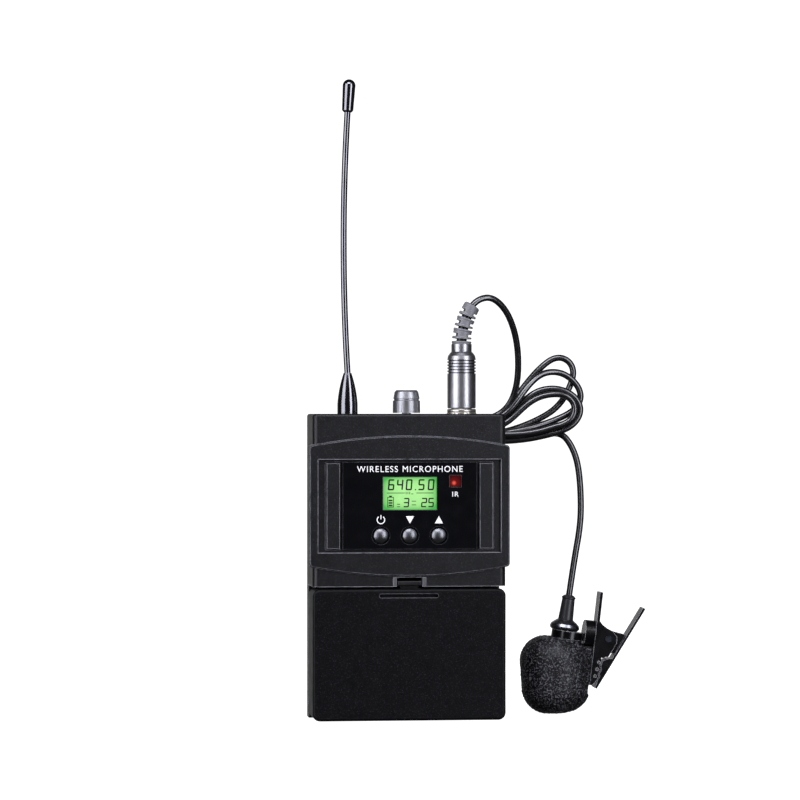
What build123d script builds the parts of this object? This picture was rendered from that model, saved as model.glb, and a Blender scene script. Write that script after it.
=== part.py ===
"""A wireless body-pack transmitter with its lavalier microphone, as an assembly.

Frame: +Z up, the front faces -Y, +X to the right of someone facing the front.
The origin is the middle of the pack's base. All lengths are in millimetres.
"""

from build123d import *
from math import cos, pi, radians, sin, tan
import os

# --- Driving dimensions of the pack -----------------------------------------------
WIDTH = 64.0
HEIGHT = 101.0
FRONT = -12.0
BACK = 12.0
HALF = WIDTH / 2
WALL = 1.6
INNER = HALF - WALL
SPLIT = 8.4  # plane where the front shell meets the rear shell
EDGE = 2.0  # rounding of the upright edges

DOOR_TOP = 43.4
SHELL_BOTTOM = 44.2
SIDE_SPLIT = 4.2  # where the rear shell's cheeks start behind the door
PIVOT_Y = 3.8
PIVOT_Z = 2.4
KNUCKLE = 2.4
LUG = (28.0, 30.1)
PIN_RADIUS = 0.8
RUNNING = 0.06  # radial clearance of a turning fit

BAND_HALF = 33.2
BAND_FRONT = -12.8
BAND_BACK = -4.0
RECESS_HALF = 30.3
RECESS = (55.4, 86.1)
RECESS_FLOOR = -11.6
RIB = (22.75, 27.9)
RIB_FRONT = -13.0

PANEL_HALF = 22.35
PANEL = (56.4, 85.3)
PANEL_FRONT = -12.6
LCD_HALF = 8.95
LCD = (69.4, 80.3)
IR_X = 15.1
IR_Z = 78.9
IR_HALF = 1.95
KEY_PITCH = 9.6
KEY_Z = 61.0
KEY_RADIUS = 2.4
BOARD = (-7.4, -5.8)

LATCH_HALF = 5.4
LATCH_TOP = 47.2

# --- Things on the top face ---------------------------------------------------------
TOP_Y = 2.0
ANTENNA_X = -19.2
KNOB_X = 0.5
SOCKET_X = 19.0
FERRULE_TOP = 114.6
FERRULE_SHOULDER = 104.2
FERRULE_RADIUS = 3.4
STUD_END = 95.5  # lower end of the ferrule's threaded stud, inside the case
ROD_RADIUS = 1.05
ROD_TOP = 201.2
ROD_BOW = 1.3
TIP_LENGTH = 11.0
TIP_RADIUS = 2.15
SHAFT_RADIUS = 1.5

# --- Cells ----------------------------------------------------------------------------
CELL_RADIUS = 7.1
CELL_LENGTH = 50.5
CELL_Y = 1.9
CELL_Z = (13.8, 34.6)
TRAY = (5.4, 43.2)
TRAY_HALF = 29.6
TRAY_BACK = 9.0

# --- Microphone head: its axis leans right, and the foam on it sits askew, leaning left ---
LEAN = 8.3
MIC_X = 53.2
MIC_Y = 12.6
MIC_Z = 13.95
FOAM_LEAN = -4.0
FOAM_X = 52.1
FOAM_Z = 13.3
FOAM_RADIUS = 11.6
FOAM_HALF = 13.2
FOAM_ROUND = 8.5
NECK = 3.3
CAPSULE = (-4.9, -2.2)
CAPSULE_RADIUS = 2.6
GRILLE_FRONT = -5.4
COLLAR_START = 14.2
CAP_TOP = 17.8
SLEEVE_TOP = 26.1
SLEEVE_RADIUS = 2.55

# --- Tie clip: pivot and the two levers, seen from the front ----------------------------
CLIP_PIVOT = (69.9, 25.05)
CLIP_HALF = 3.2
FIXED_TOP = (67.6, 40.8)
FIXED_END = (63.95, 9.5)
FIXED_SHEET = 1.1
MOVING_TOP = (82.2, 35.3)
MOVING_END = (65.5, 8.5)
MOVING_SHEET = 0.9
RING = (11.4, 14.1)
RING_RADIUS = 5.3
RING_SHIFT = 1.2  # how far the ring's outside is off the neck's axis, towards the levers
HUB_RADIUS = 4.6
HUB_MIDDLE = (63.6, 26.7)
HUB_LENGTH = 3.6
SWIVEL = 20.0  # degrees that the clip swings each way, clear of the foam

# --- Cord -------------------------------------------------------------------------------
CORD_RADIUS = 1.1
BOOT_START = 124.2
BOOT_BEND = 24.6
BOOT_TURN = 32.0
COIL_FRONT = 13.2
COIL_BACK = 21.9  # back of both lobes
TIED_BACK = 20.1  # back of the turns where the tie holds them
TIED_Z = (90.8, 99.7)
TIED_X = (21.5, 33.5)
TIE_X = (25.5, 29.5)
TIE_SHEET = 0.7

pieces = {}


def facing(y):
    """Plane at depth y with X to the right and Z up; a negative extrusion goes back."""
    return Plane.XZ.offset(-y)


def upright(x, y):
    """Plane through an upright axis at x, y, for turned profiles of (radius, z)."""
    return Plane(origin=(x, y, 0), x_dir=(1, 0, 0), z_dir=(0, -1, 0))


def block(x, y, z, mode=Mode.ADD):
    """Box between two values on each axis."""
    middle = ((x[0] + x[1]) / 2, (y[0] + y[1]) / 2, (z[0] + z[1]) / 2)
    with Locations(middle):
        Box(x[1] - x[0], y[1] - y[0], z[1] - z[0], mode=mode)


def post(x, z, radius, y, mode=Mode.ADD):
    """Round bar along Y between two depths."""
    with Locations((x, (y[0] + y[1]) / 2, z)):
        Cylinder(radius, y[1] - y[0], rotation=(90, 0, 0), mode=mode)


def column(x, y, radius, z, mode=Mode.ADD):
    """Round bar along Z between two heights."""
    with Locations((x, y, (z[0] + z[1]) / 2)):
        Cylinder(radius, z[1] - z[0], mode=mode)


def axle(y, z, radius, x, mode=Mode.ADD):
    """Round bar along X between two values."""
    with Locations(((x[0] + x[1]) / 2, y, z)):
        Cylinder(radius, x[1] - x[0], rotation=(0, 90, 0), mode=mode)


def turned(frame, points, mode=Mode.ADD):
    """Revolve a closed outline of (radius, height) about the frame's own upright axis."""
    with BuildSketch(frame) as outline:
        with BuildLine():
            Polyline(*points, close=True)
        make_face()
    revolve(outline.sketch, axis=Axis(frame.origin, frame.y_dir), mode=mode)



# --- Front shell --------------------------------------------------------------------------
BOSSES = [(-25.5, 50.0), (25.5, 50.0), (-25.5, 93.5), (25.5, 93.5)]
KEYS = [(-KEY_PITCH, KEY_Z), (0.0, KEY_Z), (KEY_PITCH, KEY_Z)]

with BuildPart() as front_shell:
    block((-HALF, HALF), (FRONT, SPLIT), (SHELL_BOTTOM, HEIGHT))
    fillet(front_shell.edges().filter_by(Axis.Z).group_by(Axis.Y)[0], EDGE)
    fillet(front_shell.faces().sort_by(Axis.Z)[-1].edges().sort_by(Axis.Y)[0:3], 0.9)
    with BuildSketch(facing(BAND_FRONT)):
        with BuildLine():
            Line((-BAND_HALF, 50.8), (-BAND_HALF, 90.6))
            ThreePointArc((-BAND_HALF, 90.6), (0, 93.8), (BAND_HALF, 90.6))
            Line((BAND_HALF, 90.6), (BAND_HALF, 50.8))
            ThreePointArc((BAND_HALF, 50.8), (0, 47.6), (-BAND_HALF, 50.8))
        make_face()
        fillet(vertices(), 1.2)
    extrude(amount=-(BAND_BACK - BAND_FRONT))
    chamfer(front_shell.faces().sort_by(Axis.Y)[0].edges(), 0.35)
    block((-INNER, INNER), (FRONT + WALL, SPLIT), (SHELL_BOTTOM + WALL, HEIGHT - WALL), Mode.SUBTRACT)
    block((-RECESS_HALF, RECESS_HALF), (BAND_FRONT, RECESS_FLOOR), RECESS, Mode.SUBTRACT)
    block((-LATCH_HALF, LATCH_HALF), (BAND_FRONT, -7.9), (SHELL_BOTTOM, LATCH_TOP), Mode.SUBTRACT)
    for side in (-1, 1):
        with BuildSketch(facing(RECESS_FLOOR)):
            with Locations((side * (RIB[0] + RIB[1]) / 2, (RECESS[0] + RECESS[1]) / 2)):
                RectangleRounded(RIB[1] - RIB[0], RECESS[1] - RECESS[0] - 1.8, 0.5)
        extrude(amount=RECESS_FLOOR - RIB_FRONT, taper=18)
    block((-LCD_HALF - 0.1, LCD_HALF + 0.1), (FRONT, -10.0), (LCD[0] - 0.1, LCD[1] + 0.1), Mode.SUBTRACT)
    block(
        (IR_X - IR_HALF - 0.1, IR_X + IR_HALF + 0.1),
        (FRONT, -10.0),
        (IR_Z - IR_HALF - 0.1, IR_Z + IR_HALF + 0.1),
        Mode.SUBTRACT,
    )
    for x, z in KEYS:
        post(x, z, KEY_RADIUS + 0.25, (FRONT, -10.0), Mode.SUBTRACT)
    for x, z in BOSSES:
        post(x, z, 2.4, (FRONT + WALL, BOARD[0]))
        post(x, z, 0.9, (FRONT + WALL, BOARD[0]), Mode.SUBTRACT)
    column(ANTENNA_X, TOP_Y, 2.1, (HEIGHT - 2, HEIGHT), Mode.SUBTRACT)
    column(KNOB_X, TOP_Y, 3.1, (HEIGHT - 2, HEIGHT), Mode.SUBTRACT)
    column(SOCKET_X, TOP_Y, 4.1, (HEIGHT - 2, HEIGHT), Mode.SUBTRACT)
pieces["front_shell"] = front_shell

# --- Rear shell with the door's two hinge lugs ------------------------------------------------
CLIP_HOLES = [(-5.0, 72.0), (5.0, 72.0)]
CASE_HOLES = [(-26.0, 24.2), (26.0, 24.2), (-27.6, 88.0), (27.6, 88.0)]

with BuildPart() as rear_shell:
    block((-HALF, HALF), (SIDE_SPLIT, BACK), (0, SHELL_BOTTOM))
    block((-HALF, HALF), (SPLIT, BACK), (SHELL_BOTTOM, HEIGHT))
    fillet(rear_shell.edges().filter_by(Axis.Z).group_by(Axis.Y)[-1], EDGE)
    fillet(rear_shell.faces().sort_by(Axis.Z)[-1].edges().sort_by(Axis.Y)[-1], 0.9)
    block((-INNER, INNER), (SIDE_SPLIT, BACK - WALL), (WALL, HEIGHT - WALL), Mode.SUBTRACT)
    block((-HALF, HALF), (SIDE_SPLIT, 6.6), (0, 5.2), Mode.SUBTRACT)
    for side in (-1, 1):
        span = sorted((side * LUG[0], side * LUG[1]))
        axle(PIVOT_Y, PIVOT_Z, 2.2, span)
        block(span, (PIVOT_Y, BACK - WALL), (PIVOT_Z - 2.2, PIVOT_Z + 2.2))
        block(sorted((side * LUG[0], side * INNER)), (6.6, BACK - WALL), (WALL, 5.0))
    axle(PIVOT_Y, PIVOT_Z, PIN_RADIUS + RUNNING, (-INNER, INNER), Mode.SUBTRACT)
    for x, z in CLIP_HOLES:
        post(x, z, 1.3, (BACK - WALL, BACK), Mode.SUBTRACT)
    for x, z in CASE_HOLES:
        post(x, z, 1.3, (BACK - WALL, BACK), Mode.SUBTRACT)
        post(x, z, 2.5, (BACK - 1.0, BACK), Mode.SUBTRACT)
pieces["rear_shell"] = rear_shell

# --- Battery door -------------------------------------------------------------------------------
with BuildPart() as battery_door:
    with BuildSketch(facing(FRONT)):
        with Locations((0, DOOR_TOP / 2)):
            Rectangle(WIDTH, DOOR_TOP)
        fillet(vertices().group_by(Axis.Z)[0], KNUCKLE)
    extrude(amount=-(PIVOT_Y - FRONT))
    fillet(battery_door.faces().sort_by(Axis.Y)[0].edges(), 0.9)
    block((-INNER, INNER), (FRONT + WALL, PIVOT_Y), (WALL, DOOR_TOP), Mode.SUBTRACT)
    block((-HALF, HALF), (PIVOT_Y - KNUCKLE, PIVOT_Y), (0, PIVOT_Z), Mode.SUBTRACT)
    for side in (-1, 1):
        axle(PIVOT_Y, PIVOT_Z, KNUCKLE, sorted((side * INNER, side * HALF)))
        gap = sorted((side * (LUG[0] - 0.3), side * INNER))
        block(gap, (PIVOT_Y - KNUCKLE - 0.2, PIVOT_Y), (0, 6), Mode.SUBTRACT)
    axle(PIVOT_Y, PIVOT_Z, KNUCKLE, (-LUG[0] + 0.3, LUG[0] - 0.3))
    block((-LUG[0] + 0.3, LUG[0] - 0.3), (PIVOT_Y - KNUCKLE - 1, PIVOT_Y), (0, WALL))
    axle(PIVOT_Y, PIVOT_Z, PIN_RADIUS, (-HALF, HALF), Mode.SUBTRACT)
    with BuildSketch(facing(FRONT)):
        with Locations((-0.2, 41.15)):
            SlotOverall(19.6, 1.3)
    extrude(amount=-1.3, mode=Mode.SUBTRACT)
    block((-4, 4), (FRONT + WALL, -8.0), (38.6, 39.6))
    block((-4, 4), (-9.0, -8.0), (38.6, 42.2))
pieces["battery_door"] = battery_door

with BuildPart() as door_hinge_pins:
    for side in (-1, 1):
        axle(PIVOT_Y, PIVOT_Z, PIN_RADIUS, sorted((side * (LUG[0] - 0.2), side * (HALF - 0.2))))
pieces["door_hinge_pins"] = door_hinge_pins

# --- Sliding latch above the door: thumb pad in front, hook behind -------------------------------
with BuildPart() as door_latch:
    block((-3.8, 3.8), (-12.1, -10.2), (44.6, 46.0))
    block((-3.0, 3.0), (-10.2, -9.4), (42.5, 46.0))
    fillet(door_latch.edges().filter_by(Axis.X).group_by(Axis.Y)[0], 0.3)
pieces["door_latch"] = door_latch

with BuildPart() as latch_guides:
    for side in (-1, 1):
        block(sorted((side * 4.2, side * LATCH_HALF)), (-12.3, -8.0), (SHELL_BOTTOM, LATCH_TOP))
    fillet(latch_guides.edges().filter_by(Axis.Z).group_by(Axis.Y)[0], 0.35)
pieces["latch_guides"] = latch_guides

# --- Display panel, display, infra-red window ------------------------------------------------------
with BuildPart() as display_panel:
    block((-PANEL_HALF, PANEL_HALF), (PANEL_FRONT, RECESS_FLOOR), PANEL)
    chamfer(display_panel.faces().sort_by(Axis.Y)[0].edges(), 0.2)
    block((-LCD_HALF, LCD_HALF), (PANEL_FRONT, RECESS_FLOOR), LCD, Mode.SUBTRACT)
    block(
        (IR_X - IR_HALF, IR_X + IR_HALF),
        (PANEL_FRONT, RECESS_FLOOR),
        (IR_Z - IR_HALF, IR_Z + IR_HALF),
        Mode.SUBTRACT,
    )
    for x, z in KEYS:
        with Locations(Location((x, PANEL_FRONT, z), (90, 0, 0))):
            CounterSinkHole(KEY_RADIUS + 0.25, 3.0, depth=2.0, counter_sink_angle=90)
pieces["display_panel"] = display_panel

with BuildPart() as lcd_module:
    block((-LCD_HALF + 0.05, LCD_HALF - 0.05), (PANEL_FRONT + 0.2, -10.4), (LCD[0] + 0.05, LCD[1] - 0.05))
    block((-11.0, 11.0), (-10.35, BOARD[0]), (67.0, 82.5))
pieces["lcd_module"] = lcd_module

with BuildPart() as ir_window:
    edge = IR_HALF - 0.04
    block((IR_X - edge, IR_X + edge), (PANEL_FRONT - 0.15, -10.4), (IR_Z - edge, IR_Z + edge))
    chamfer(ir_window.faces().sort_by(Axis.Y)[0].edges(), 0.2)
pieces["ir_window"] = ir_window

with BuildPart() as ir_led:
    post(IR_X, IR_Z, 1.5, (-9.8, BOARD[0]))
    fillet(ir_led.faces().sort_by(Axis.Y)[0].edges(), 1.2)
pieces["ir_led"] = ir_led

# --- Keys and the switches behind them ---------------------------------------------------------------
KEY_NAMES = ("power_button", "down_button", "up_button")
KEY_FRONT = -13.6
KEY_SHOULDER = -9.95
KEY_DOME = 4.0

for name, (x, z) in zip(KEY_NAMES, KEYS):
    with BuildPart() as key:
        post(x, z, KEY_RADIUS, (KEY_FRONT, KEY_SHOULDER))
        with Locations((x, KEY_FRONT + KEY_DOME, z)):
            Sphere(KEY_DOME, mode=Mode.INTERSECT)
        fillet(key.faces().sort_by(Axis.Y)[0].edges(), 0.35)
        post(x, z, 3.1, (KEY_SHOULDER, KEY_SHOULDER + 0.6))
    pieces[name] = key

with BuildPart() as tact_switches:
    for x, z in KEYS:
        block((x - 2.6, x + 2.6), (BOARD[0] - 1.1, BOARD[0]), (z - 2.6, z + 2.6))
        post(x, z, 1.0, (BOARD[0] - 1.45, BOARD[0] - 1.1))
pieces["tact_switches"] = tact_switches

# --- Circuit board, shield and board screws -------------------------------------------------------------
with BuildPart() as main_board:
    block((-29.0, 29.0), BOARD, (47.6, 98.0))
    for x, z in BOSSES:
        post(x, z, 1.0, BOARD, Mode.SUBTRACT)
pieces["main_board"] = main_board

with BuildPart() as shield_can:
    block((-16.0, 12.0), (BOARD[1], -3.2), (52.0, 78.0))
    fillet(shield_can.edges().filter_by(Axis.Y), 0.8)
    fillet(shield_can.faces().sort_by(Axis.Y)[-1].edges(), 0.4)
pieces["shield_can"] = shield_can

with BuildPart() as board_screws:
    for x, z in BOSSES:
        post(x, z, 0.85, (BOARD[0] - 2.2, BOARD[1]))
        post(x, z, 1.8, (BOARD[1], BOARD[1] + 1.2))
pieces["board_screws"] = board_screws

# --- Antenna: turned ferrule, bowed whip, capsule tip ---------------------------------------------------
with BuildPart() as antenna_ferrule:
    with BuildSketch(upright(ANTENNA_X, TOP_Y)):
        with BuildLine():
            Polyline((1.3, FERRULE_TOP), (0, FERRULE_TOP), (0, STUD_END), (2.0, STUD_END), (2.0, HEIGHT))
            Polyline((2.0, HEIGHT), (FERRULE_RADIUS, HEIGHT), (FERRULE_RADIUS, FERRULE_SHOULDER))
            ThreePointArc((FERRULE_RADIUS, FERRULE_SHOULDER), (2.75, HEIGHT + 8.2), (1.3, FERRULE_TOP))
        make_face()
    revolve(axis=Axis((ANTENNA_X, TOP_Y, 0), (0, 0, 1)))
pieces["antenna_ferrule"] = antenna_ferrule

ROD_MIDDLE = (FERRULE_TOP + ROD_TOP) / 2

with BuildPart() as antenna_rod:
    with BuildLine(facing(TOP_Y)) as rod_line:
        ThreePointArc(
            (ANTENNA_X, FERRULE_TOP),
            (ANTENNA_X - ROD_BOW, ROD_MIDDLE),
            (ANTENNA_X, ROD_TOP),
        )
    with BuildSketch(Plane(origin=rod_line.line @ 0, z_dir=rod_line.line % 0)):
        Circle(ROD_RADIUS)
    sweep()
pieces["antenna_rod"] = antenna_rod

tip_lean = (rod_line.line % 1).normalized()
tip_frame = Plane(origin=rod_line.line @ 1, x_dir=(tip_lean.Z, 0, -tip_lean.X), z_dir=(0, -1, 0))

with BuildPart() as antenna_tip:
    with BuildSketch(tip_frame):
        with BuildLine():
            Polyline((0, TIP_LENGTH), (0, 0), (1.3, 0), (1.9, 0.6), (TIP_RADIUS, TIP_LENGTH - TIP_RADIUS))
            RadiusArc((TIP_RADIUS, TIP_LENGTH - TIP_RADIUS), (0, TIP_LENGTH), -TIP_RADIUS)
        make_face()
    revolve(axis=Axis(tip_frame.origin, tip_frame.y_dir))
pieces["antenna_tip"] = antenna_tip

# --- Volume knob and its potentiometer ------------------------------------------------------------------
with BuildPart() as volume_knob:
    turned(
        upright(KNOB_X, TOP_Y),
        [(0, 92.5), (SHAFT_RADIUS, 92.5), (SHAFT_RADIUS, 101.3), (4.6, 101.3), (4.55, 105.3),
         (4.15, 105.5), (4.15, 105.9), (4.4, 106.1), (3.95, 108.3), (3.4, 108.9), (0, 108.9)],
    )
    with Locations((KNOB_X, TOP_Y, 103.2)):
        with PolarLocations(4.75, 28):
            Box(0.5, 0.35, 3.0, mode=Mode.SUBTRACT)
    block((KNOB_X - 0.3, KNOB_X + 0.3), (TOP_Y - 3.6, TOP_Y - 1.2), (108.5, 109.0), Mode.SUBTRACT)
pieces["volume_knob"] = volume_knob

with BuildPart() as potentiometer:
    block((KNOB_X - 5, KNOB_X + 5), (TOP_Y - 4.6, TOP_Y + 4.6), (86.5, 96.5))
    column(KNOB_X, TOP_Y, 3.05, (96.5, 100.9))
    column(KNOB_X, TOP_Y, 4.4, (98.2, HEIGHT - WALL))
    column(KNOB_X, TOP_Y, SHAFT_RADIUS + RUNNING, (92.2, 100.9), Mode.SUBTRACT)
pieces["potentiometer"] = potentiometer

# --- Microphone socket ----------------------------------------------------------------------------------
PIN_CIRCLE = 1.7

with BuildPart() as mic_socket:
    turned(
        upright(SOCKET_X, TOP_Y),
        [(0, 88), (4.0, 88), (4.0, 97.4), (4.8, 97.4), (4.8, HEIGHT - WALL), (4.0, HEIGHT - WALL),
         (4.0, 102.2), (3.5, 102.2), (3.5, 95), (0, 95)],
    )
    with Locations((SOCKET_X, TOP_Y, 93)):
        with PolarLocations(PIN_CIRCLE, 3, start_angle=30):
            Cylinder(0.45, 10, mode=Mode.SUBTRACT)
pieces["mic_socket"] = mic_socket

with BuildPart() as socket_pins:
    with Locations((SOCKET_X, TOP_Y, 92.5)):
        with PolarLocations(PIN_CIRCLE, 3, start_angle=30):
            Cylinder(0.45, 13)
pieces["socket_pins"] = socket_pins

WASHER = 0.45  # toothed washer under the nut

with BuildPart() as socket_nut:
    turned(
        upright(SOCKET_X, TOP_Y),
        [(4.05, HEIGHT), (4.9, HEIGHT), (4.9, HEIGHT + WASHER), (4.75, HEIGHT + WASHER),
         (4.85, HEIGHT + 0.9), (4.85, HEIGHT + 1.3), (4.6, HEIGHT + 1.65), (4.05, HEIGHT + 1.65)],
    )
    with Locations((SOCKET_X, TOP_Y, HEIGHT + WASHER / 2)):
        with PolarLocations(4.9, 9):
            Box(1.0, 1.2, WASHER, mode=Mode.SUBTRACT)
pieces["socket_nut"] = socket_nut

# --- Cable plug -----------------------------------------------------------------------------------------
PLUG_RADIUS = 4.75
GRIP = (114.1, 119.2)
GRIP_RINGS = 5
GROOVE = 0.4

with BuildPart() as plug_insert:
    column(SOCKET_X, TOP_Y, 3.4, (95.4, 113.0))
    with Locations((SOCKET_X, TOP_Y, 98)):
        with PolarLocations(PIN_CIRCLE, 3, start_angle=30):
            Cylinder(0.55, 8, mode=Mode.SUBTRACT)
pieces["plug_insert"] = plug_insert

with BuildPart() as plug_barrel:
    turned(
        upright(SOCKET_X, TOP_Y),
        [(4.1, 102.8), (4.45, 102.8), (PLUG_RADIUS, 103.1), (PLUG_RADIUS, GRIP[0]), (3.45, GRIP[0]),
         (3.45, 104.6), (4.1, 104.6)],
    )
pieces["plug_barrel"] = plug_barrel

with BuildPart() as plug_grip:
    turned(
        upright(SOCKET_X, TOP_Y),
        [(0, GRIP[0]), (PLUG_RADIUS, GRIP[0]), (PLUG_RADIUS, GRIP[1]), (4.55, 120.3), (3.9, 121.2),
         (3.4, 121.7), (3.4, BOOT_START), (0, BOOT_START)],
    )
    for ring in range(GRIP_RINGS):
        low = GRIP[0] + 0.35 + ring * (GRIP[1] - GRIP[0]) / GRIP_RINGS
        ring_cut = [(r, z) for z in (low, low + GROOVE) for r in (PLUG_RADIUS - GROOVE, PLUG_RADIUS + 0.2)]
        turned(upright(SOCKET_X, TOP_Y), [ring_cut[i] for i in (0, 1, 3, 2)], Mode.SUBTRACT)
pieces["plug_grip"] = plug_grip

BOOT_RADII = (3.2, 2.75)
GROOVES = (0.07, 0.37, 0.65)
WINDOWS = (0.18, 0.48, 0.76)

with BuildLine(facing(TOP_Y)) as boot_line:
    JernArc((SOCKET_X, BOOT_START), (0, 1), BOOT_BEND, -BOOT_TURN)
boot_end = boot_line.line @ 1


def across_boot(along):
    """Plane square to the boot at a share of its length."""
    return Plane(origin=boot_line.line @ along, x_dir=(0, 1, 0), z_dir=boot_line.line % along)


with BuildPart() as plug_boot:
    add(boot_line.line)
    for along, radius in zip((0, 1), BOOT_RADII):
        with BuildSketch(across_boot(along)):
            Circle(radius)
    sweep(multisection=True)
    fillet(plug_boot.faces().filter_by(GeomType.PLANE).sort_by(Axis.Z)[-1].edges(), 0.7)
    for along in GROOVES:
        with BuildSketch(across_boot(along)):
            Circle(BOOT_RADII[0] + 1)
            Circle(BOOT_RADII[1] - 0.7, mode=Mode.SUBTRACT)
        extrude(amount=0.7, mode=Mode.SUBTRACT)
    for along in WINDOWS:
        with BuildSketch(across_boot(along)):
            with Locations((0, 2.9), (0, -2.9)):
                Rectangle(3.2, 1.8)
        extrude(amount=1.0, mode=Mode.SUBTRACT)
pieces["plug_boot"] = plug_boot

# --- Cord: a lead over the top, a tied coil, and the drop to the microphone -----------------------------


def corner_radii(points):
    """Radius of each bend: 0.45 of the shorter run over the tangent of half the turn."""
    radii = []
    for before, here, after in zip(points, points[1:], points[2:]):
        run_in = Vector(*here) - Vector(*before)
        run_out = Vector(*after) - Vector(*here)
        half_turn = radians(run_in.get_angle(run_out)) / 2
        radii.append(0.45 * min(run_in.length, run_out.length) / tan(half_turn))
    return radii


def cord_path(name, points):
    """Straight runs joined by tangent arcs, with the radii printed."""
    radii = corner_radii(points)
    print(name, "radii", [round(radius, 1) for radius in radii])
    return FilletPolyline(*points, radius=radii)


UPPER = [
    (boot_end.X, boot_end.Y, boot_end.Z),
    (24.6, 2.2, 139.6),
    (29.8, 3.4, 140.1),
    (35.4, 6.6, 134.9),
    (39.1, 10.4, 125.2),
    (39.9, 13.6, 113.4),
    (38.2, 16.4, 105.2),
    (34.0, 16.8, 100.4),
]

mic_up = Vector(sin(radians(LEAN)), 0, cos(radians(LEAN)))
mic_out = (cos(radians(LEAN)), 0, -sin(radians(LEAN)))
mic_middle = Vector(MIC_X, MIC_Y, MIC_Z)
sleeve_end = mic_middle + mic_up * SLEEVE_TOP
above_sleeve = mic_middle + mic_up * (SLEEVE_TOP + 11.5)
LOWER = [
    (50.6, 18.2, 94.4),
    (55.2, 17.4, 94.3),
    (58.2, 16.4, 90.6),
    (60.4, 15.4, 84.6),
    (61.6, 14.7, 75.0),
    (61.4, 14.0, 64.0),
    (above_sleeve.X, above_sleeve.Y, above_sleeve.Z),
    (sleeve_end.X, sleeve_end.Y, sleeve_end.Z),
]


def cord_tube(name, points):
    """Round tube along a route, checked against its section times its length."""
    with BuildPart() as tube:
        with BuildLine() as line:
            cord_path(name, points)
        start = Plane(origin=line.line @ 0, z_dir=line.line % 0)
        with BuildSketch(start):
            Circle(CORD_RADIUS)
        sweep()
    length = sum(edge.length for edge in line.edges())
    ratio = tube.part.volume / (pi * CORD_RADIUS**2 * length)
    print(name, "length", round(length, 1), "volume over section times length", round(ratio, 3))
    return tube


pieces["cord_upper"] = cord_tube("cord_upper", UPPER)
pieces["cord_lower"] = cord_tube("cord_lower", LOWER)

with BuildPart() as cord_coil:
    for middle, radii, turned_by in (((48.5, 105.5), (17.5, 15.0), 35), ((2.5, 89.4), (28.0, 9.4), 5)):
        with BuildSketch(facing(COIL_FRONT)):
            with Locations(middle):
                Ellipse(*radii, rotation=turned_by)
        extrude(amount=-(COIL_BACK - COIL_FRONT))
    fillet(cord_coil.faces().filter_by(Axis.Y).edges(), 1.2)
    block(TIED_X, (COIL_FRONT + 0.1, TIED_BACK - 0.1), TIED_Z)
pieces["cord_coil"] = cord_coil

with BuildPart() as cord_tie:
    low, high = TIED_Z
    block(TIE_X, (COIL_FRONT - TIE_SHEET, TIED_BACK + TIE_SHEET), (low - TIE_SHEET, high + TIE_SHEET))
    fillet(cord_tie.edges().filter_by(Axis.X), TIE_SHEET)
    block(TIE_X, (COIL_FRONT + 0.1, TIED_BACK - 0.1), TIED_Z, Mode.SUBTRACT)
pieces["cord_tie"] = cord_tie

# --- Cells, tray, springs and contacts ------------------------------------------------------------------
with BuildPart() as battery_tray:
    block((-TRAY_HALF, TRAY_HALF), (TRAY_BACK, BACK - WALL), TRAY)
    for low in (TRAY[0], TRAY[1] - 1.2):
        block((-TRAY_HALF, TRAY_HALF), (-5.0, TRAY_BACK), (low, low + 1.2))
    for side in (-1, 1):
        block(sorted((side * (TRAY_HALF - 1.2), side * TRAY_HALF)), (-5.0, TRAY_BACK), TRAY)
    block((-TRAY_HALF, TRAY_HALF), (4.0, TRAY_BACK), (22.4, 26.0))
    for x, z in CASE_HOLES[:2]:
        post(x, z, 1.3, (5.0, BACK), Mode.SUBTRACT)
pieces["battery_tray"] = battery_tray

CELL_FAR = TRAY_HALF - 1.2 - 0.5

for name, height, side in (("battery_cell_lower", CELL_Z[0], -1), ("battery_cell_upper", CELL_Z[1], 1)):
    with BuildPart() as cell:
        axle(CELL_Y, height, CELL_RADIUS, sorted((side * (CELL_FAR - 1.0), side * (CELL_FAR - CELL_LENGTH))))
        fillet(cell.edges(), 0.7)
        axle(CELL_Y, height, 2.7, sorted((side * (CELL_FAR - 1.0), side * CELL_FAR)))
    pieces[name] = cell

with BuildPart() as battery_contacts:
    for height, side in zip(CELL_Z, (-1, 1)):
        block(sorted((side * CELL_FAR, side * (CELL_FAR + 0.5))), (-2.5, 6.5), (height - 4.5, height + 4.5))
pieces["battery_contacts"] = battery_contacts

SPRING_WIRE = 0.4

with BuildPart() as battery_springs:
    for height, side in zip(CELL_Z, (-1, 1)):
        block(
            sorted((-side * (TRAY_HALF - 1.2), -side * (TRAY_HALF - 1.5))),
            (-2.5, 6.5),
            (height - 4.5, height + 4.5),
        )
        for turn in range(4):
            x = -side * (TRAY_HALF - 2.2 - turn * 1.25)
            with Locations(Location((x, CELL_Y, height), (0, 90, 0))):
                Torus(4.2 - turn * 0.5, SPRING_WIRE)
pieces["battery_springs"] = battery_springs

# --- Belt clip and the screws at the back ---------------------------------------------------------------
CLIP_SHEET = 1.2

with BuildPart() as belt_clip:
    with BuildSketch(Plane.YZ):
        with BuildLine():
            FilletPolyline((12.6, 77.5), (12.6, 64.5), (17.8, 58.5), (17.8, 29.0), (19.8, 23.5), radius=2.0)
        trace(line_width=CLIP_SHEET)
    extrude(amount=9.5, both=True)
    fillet(belt_clip.edges().filter_by(Axis.Y), 0.5)
    for x, z in CLIP_HOLES:
        post(x, z, 1.3, (BACK, BACK + 2.0), Mode.SUBTRACT)
pieces["belt_clip"] = belt_clip

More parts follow.
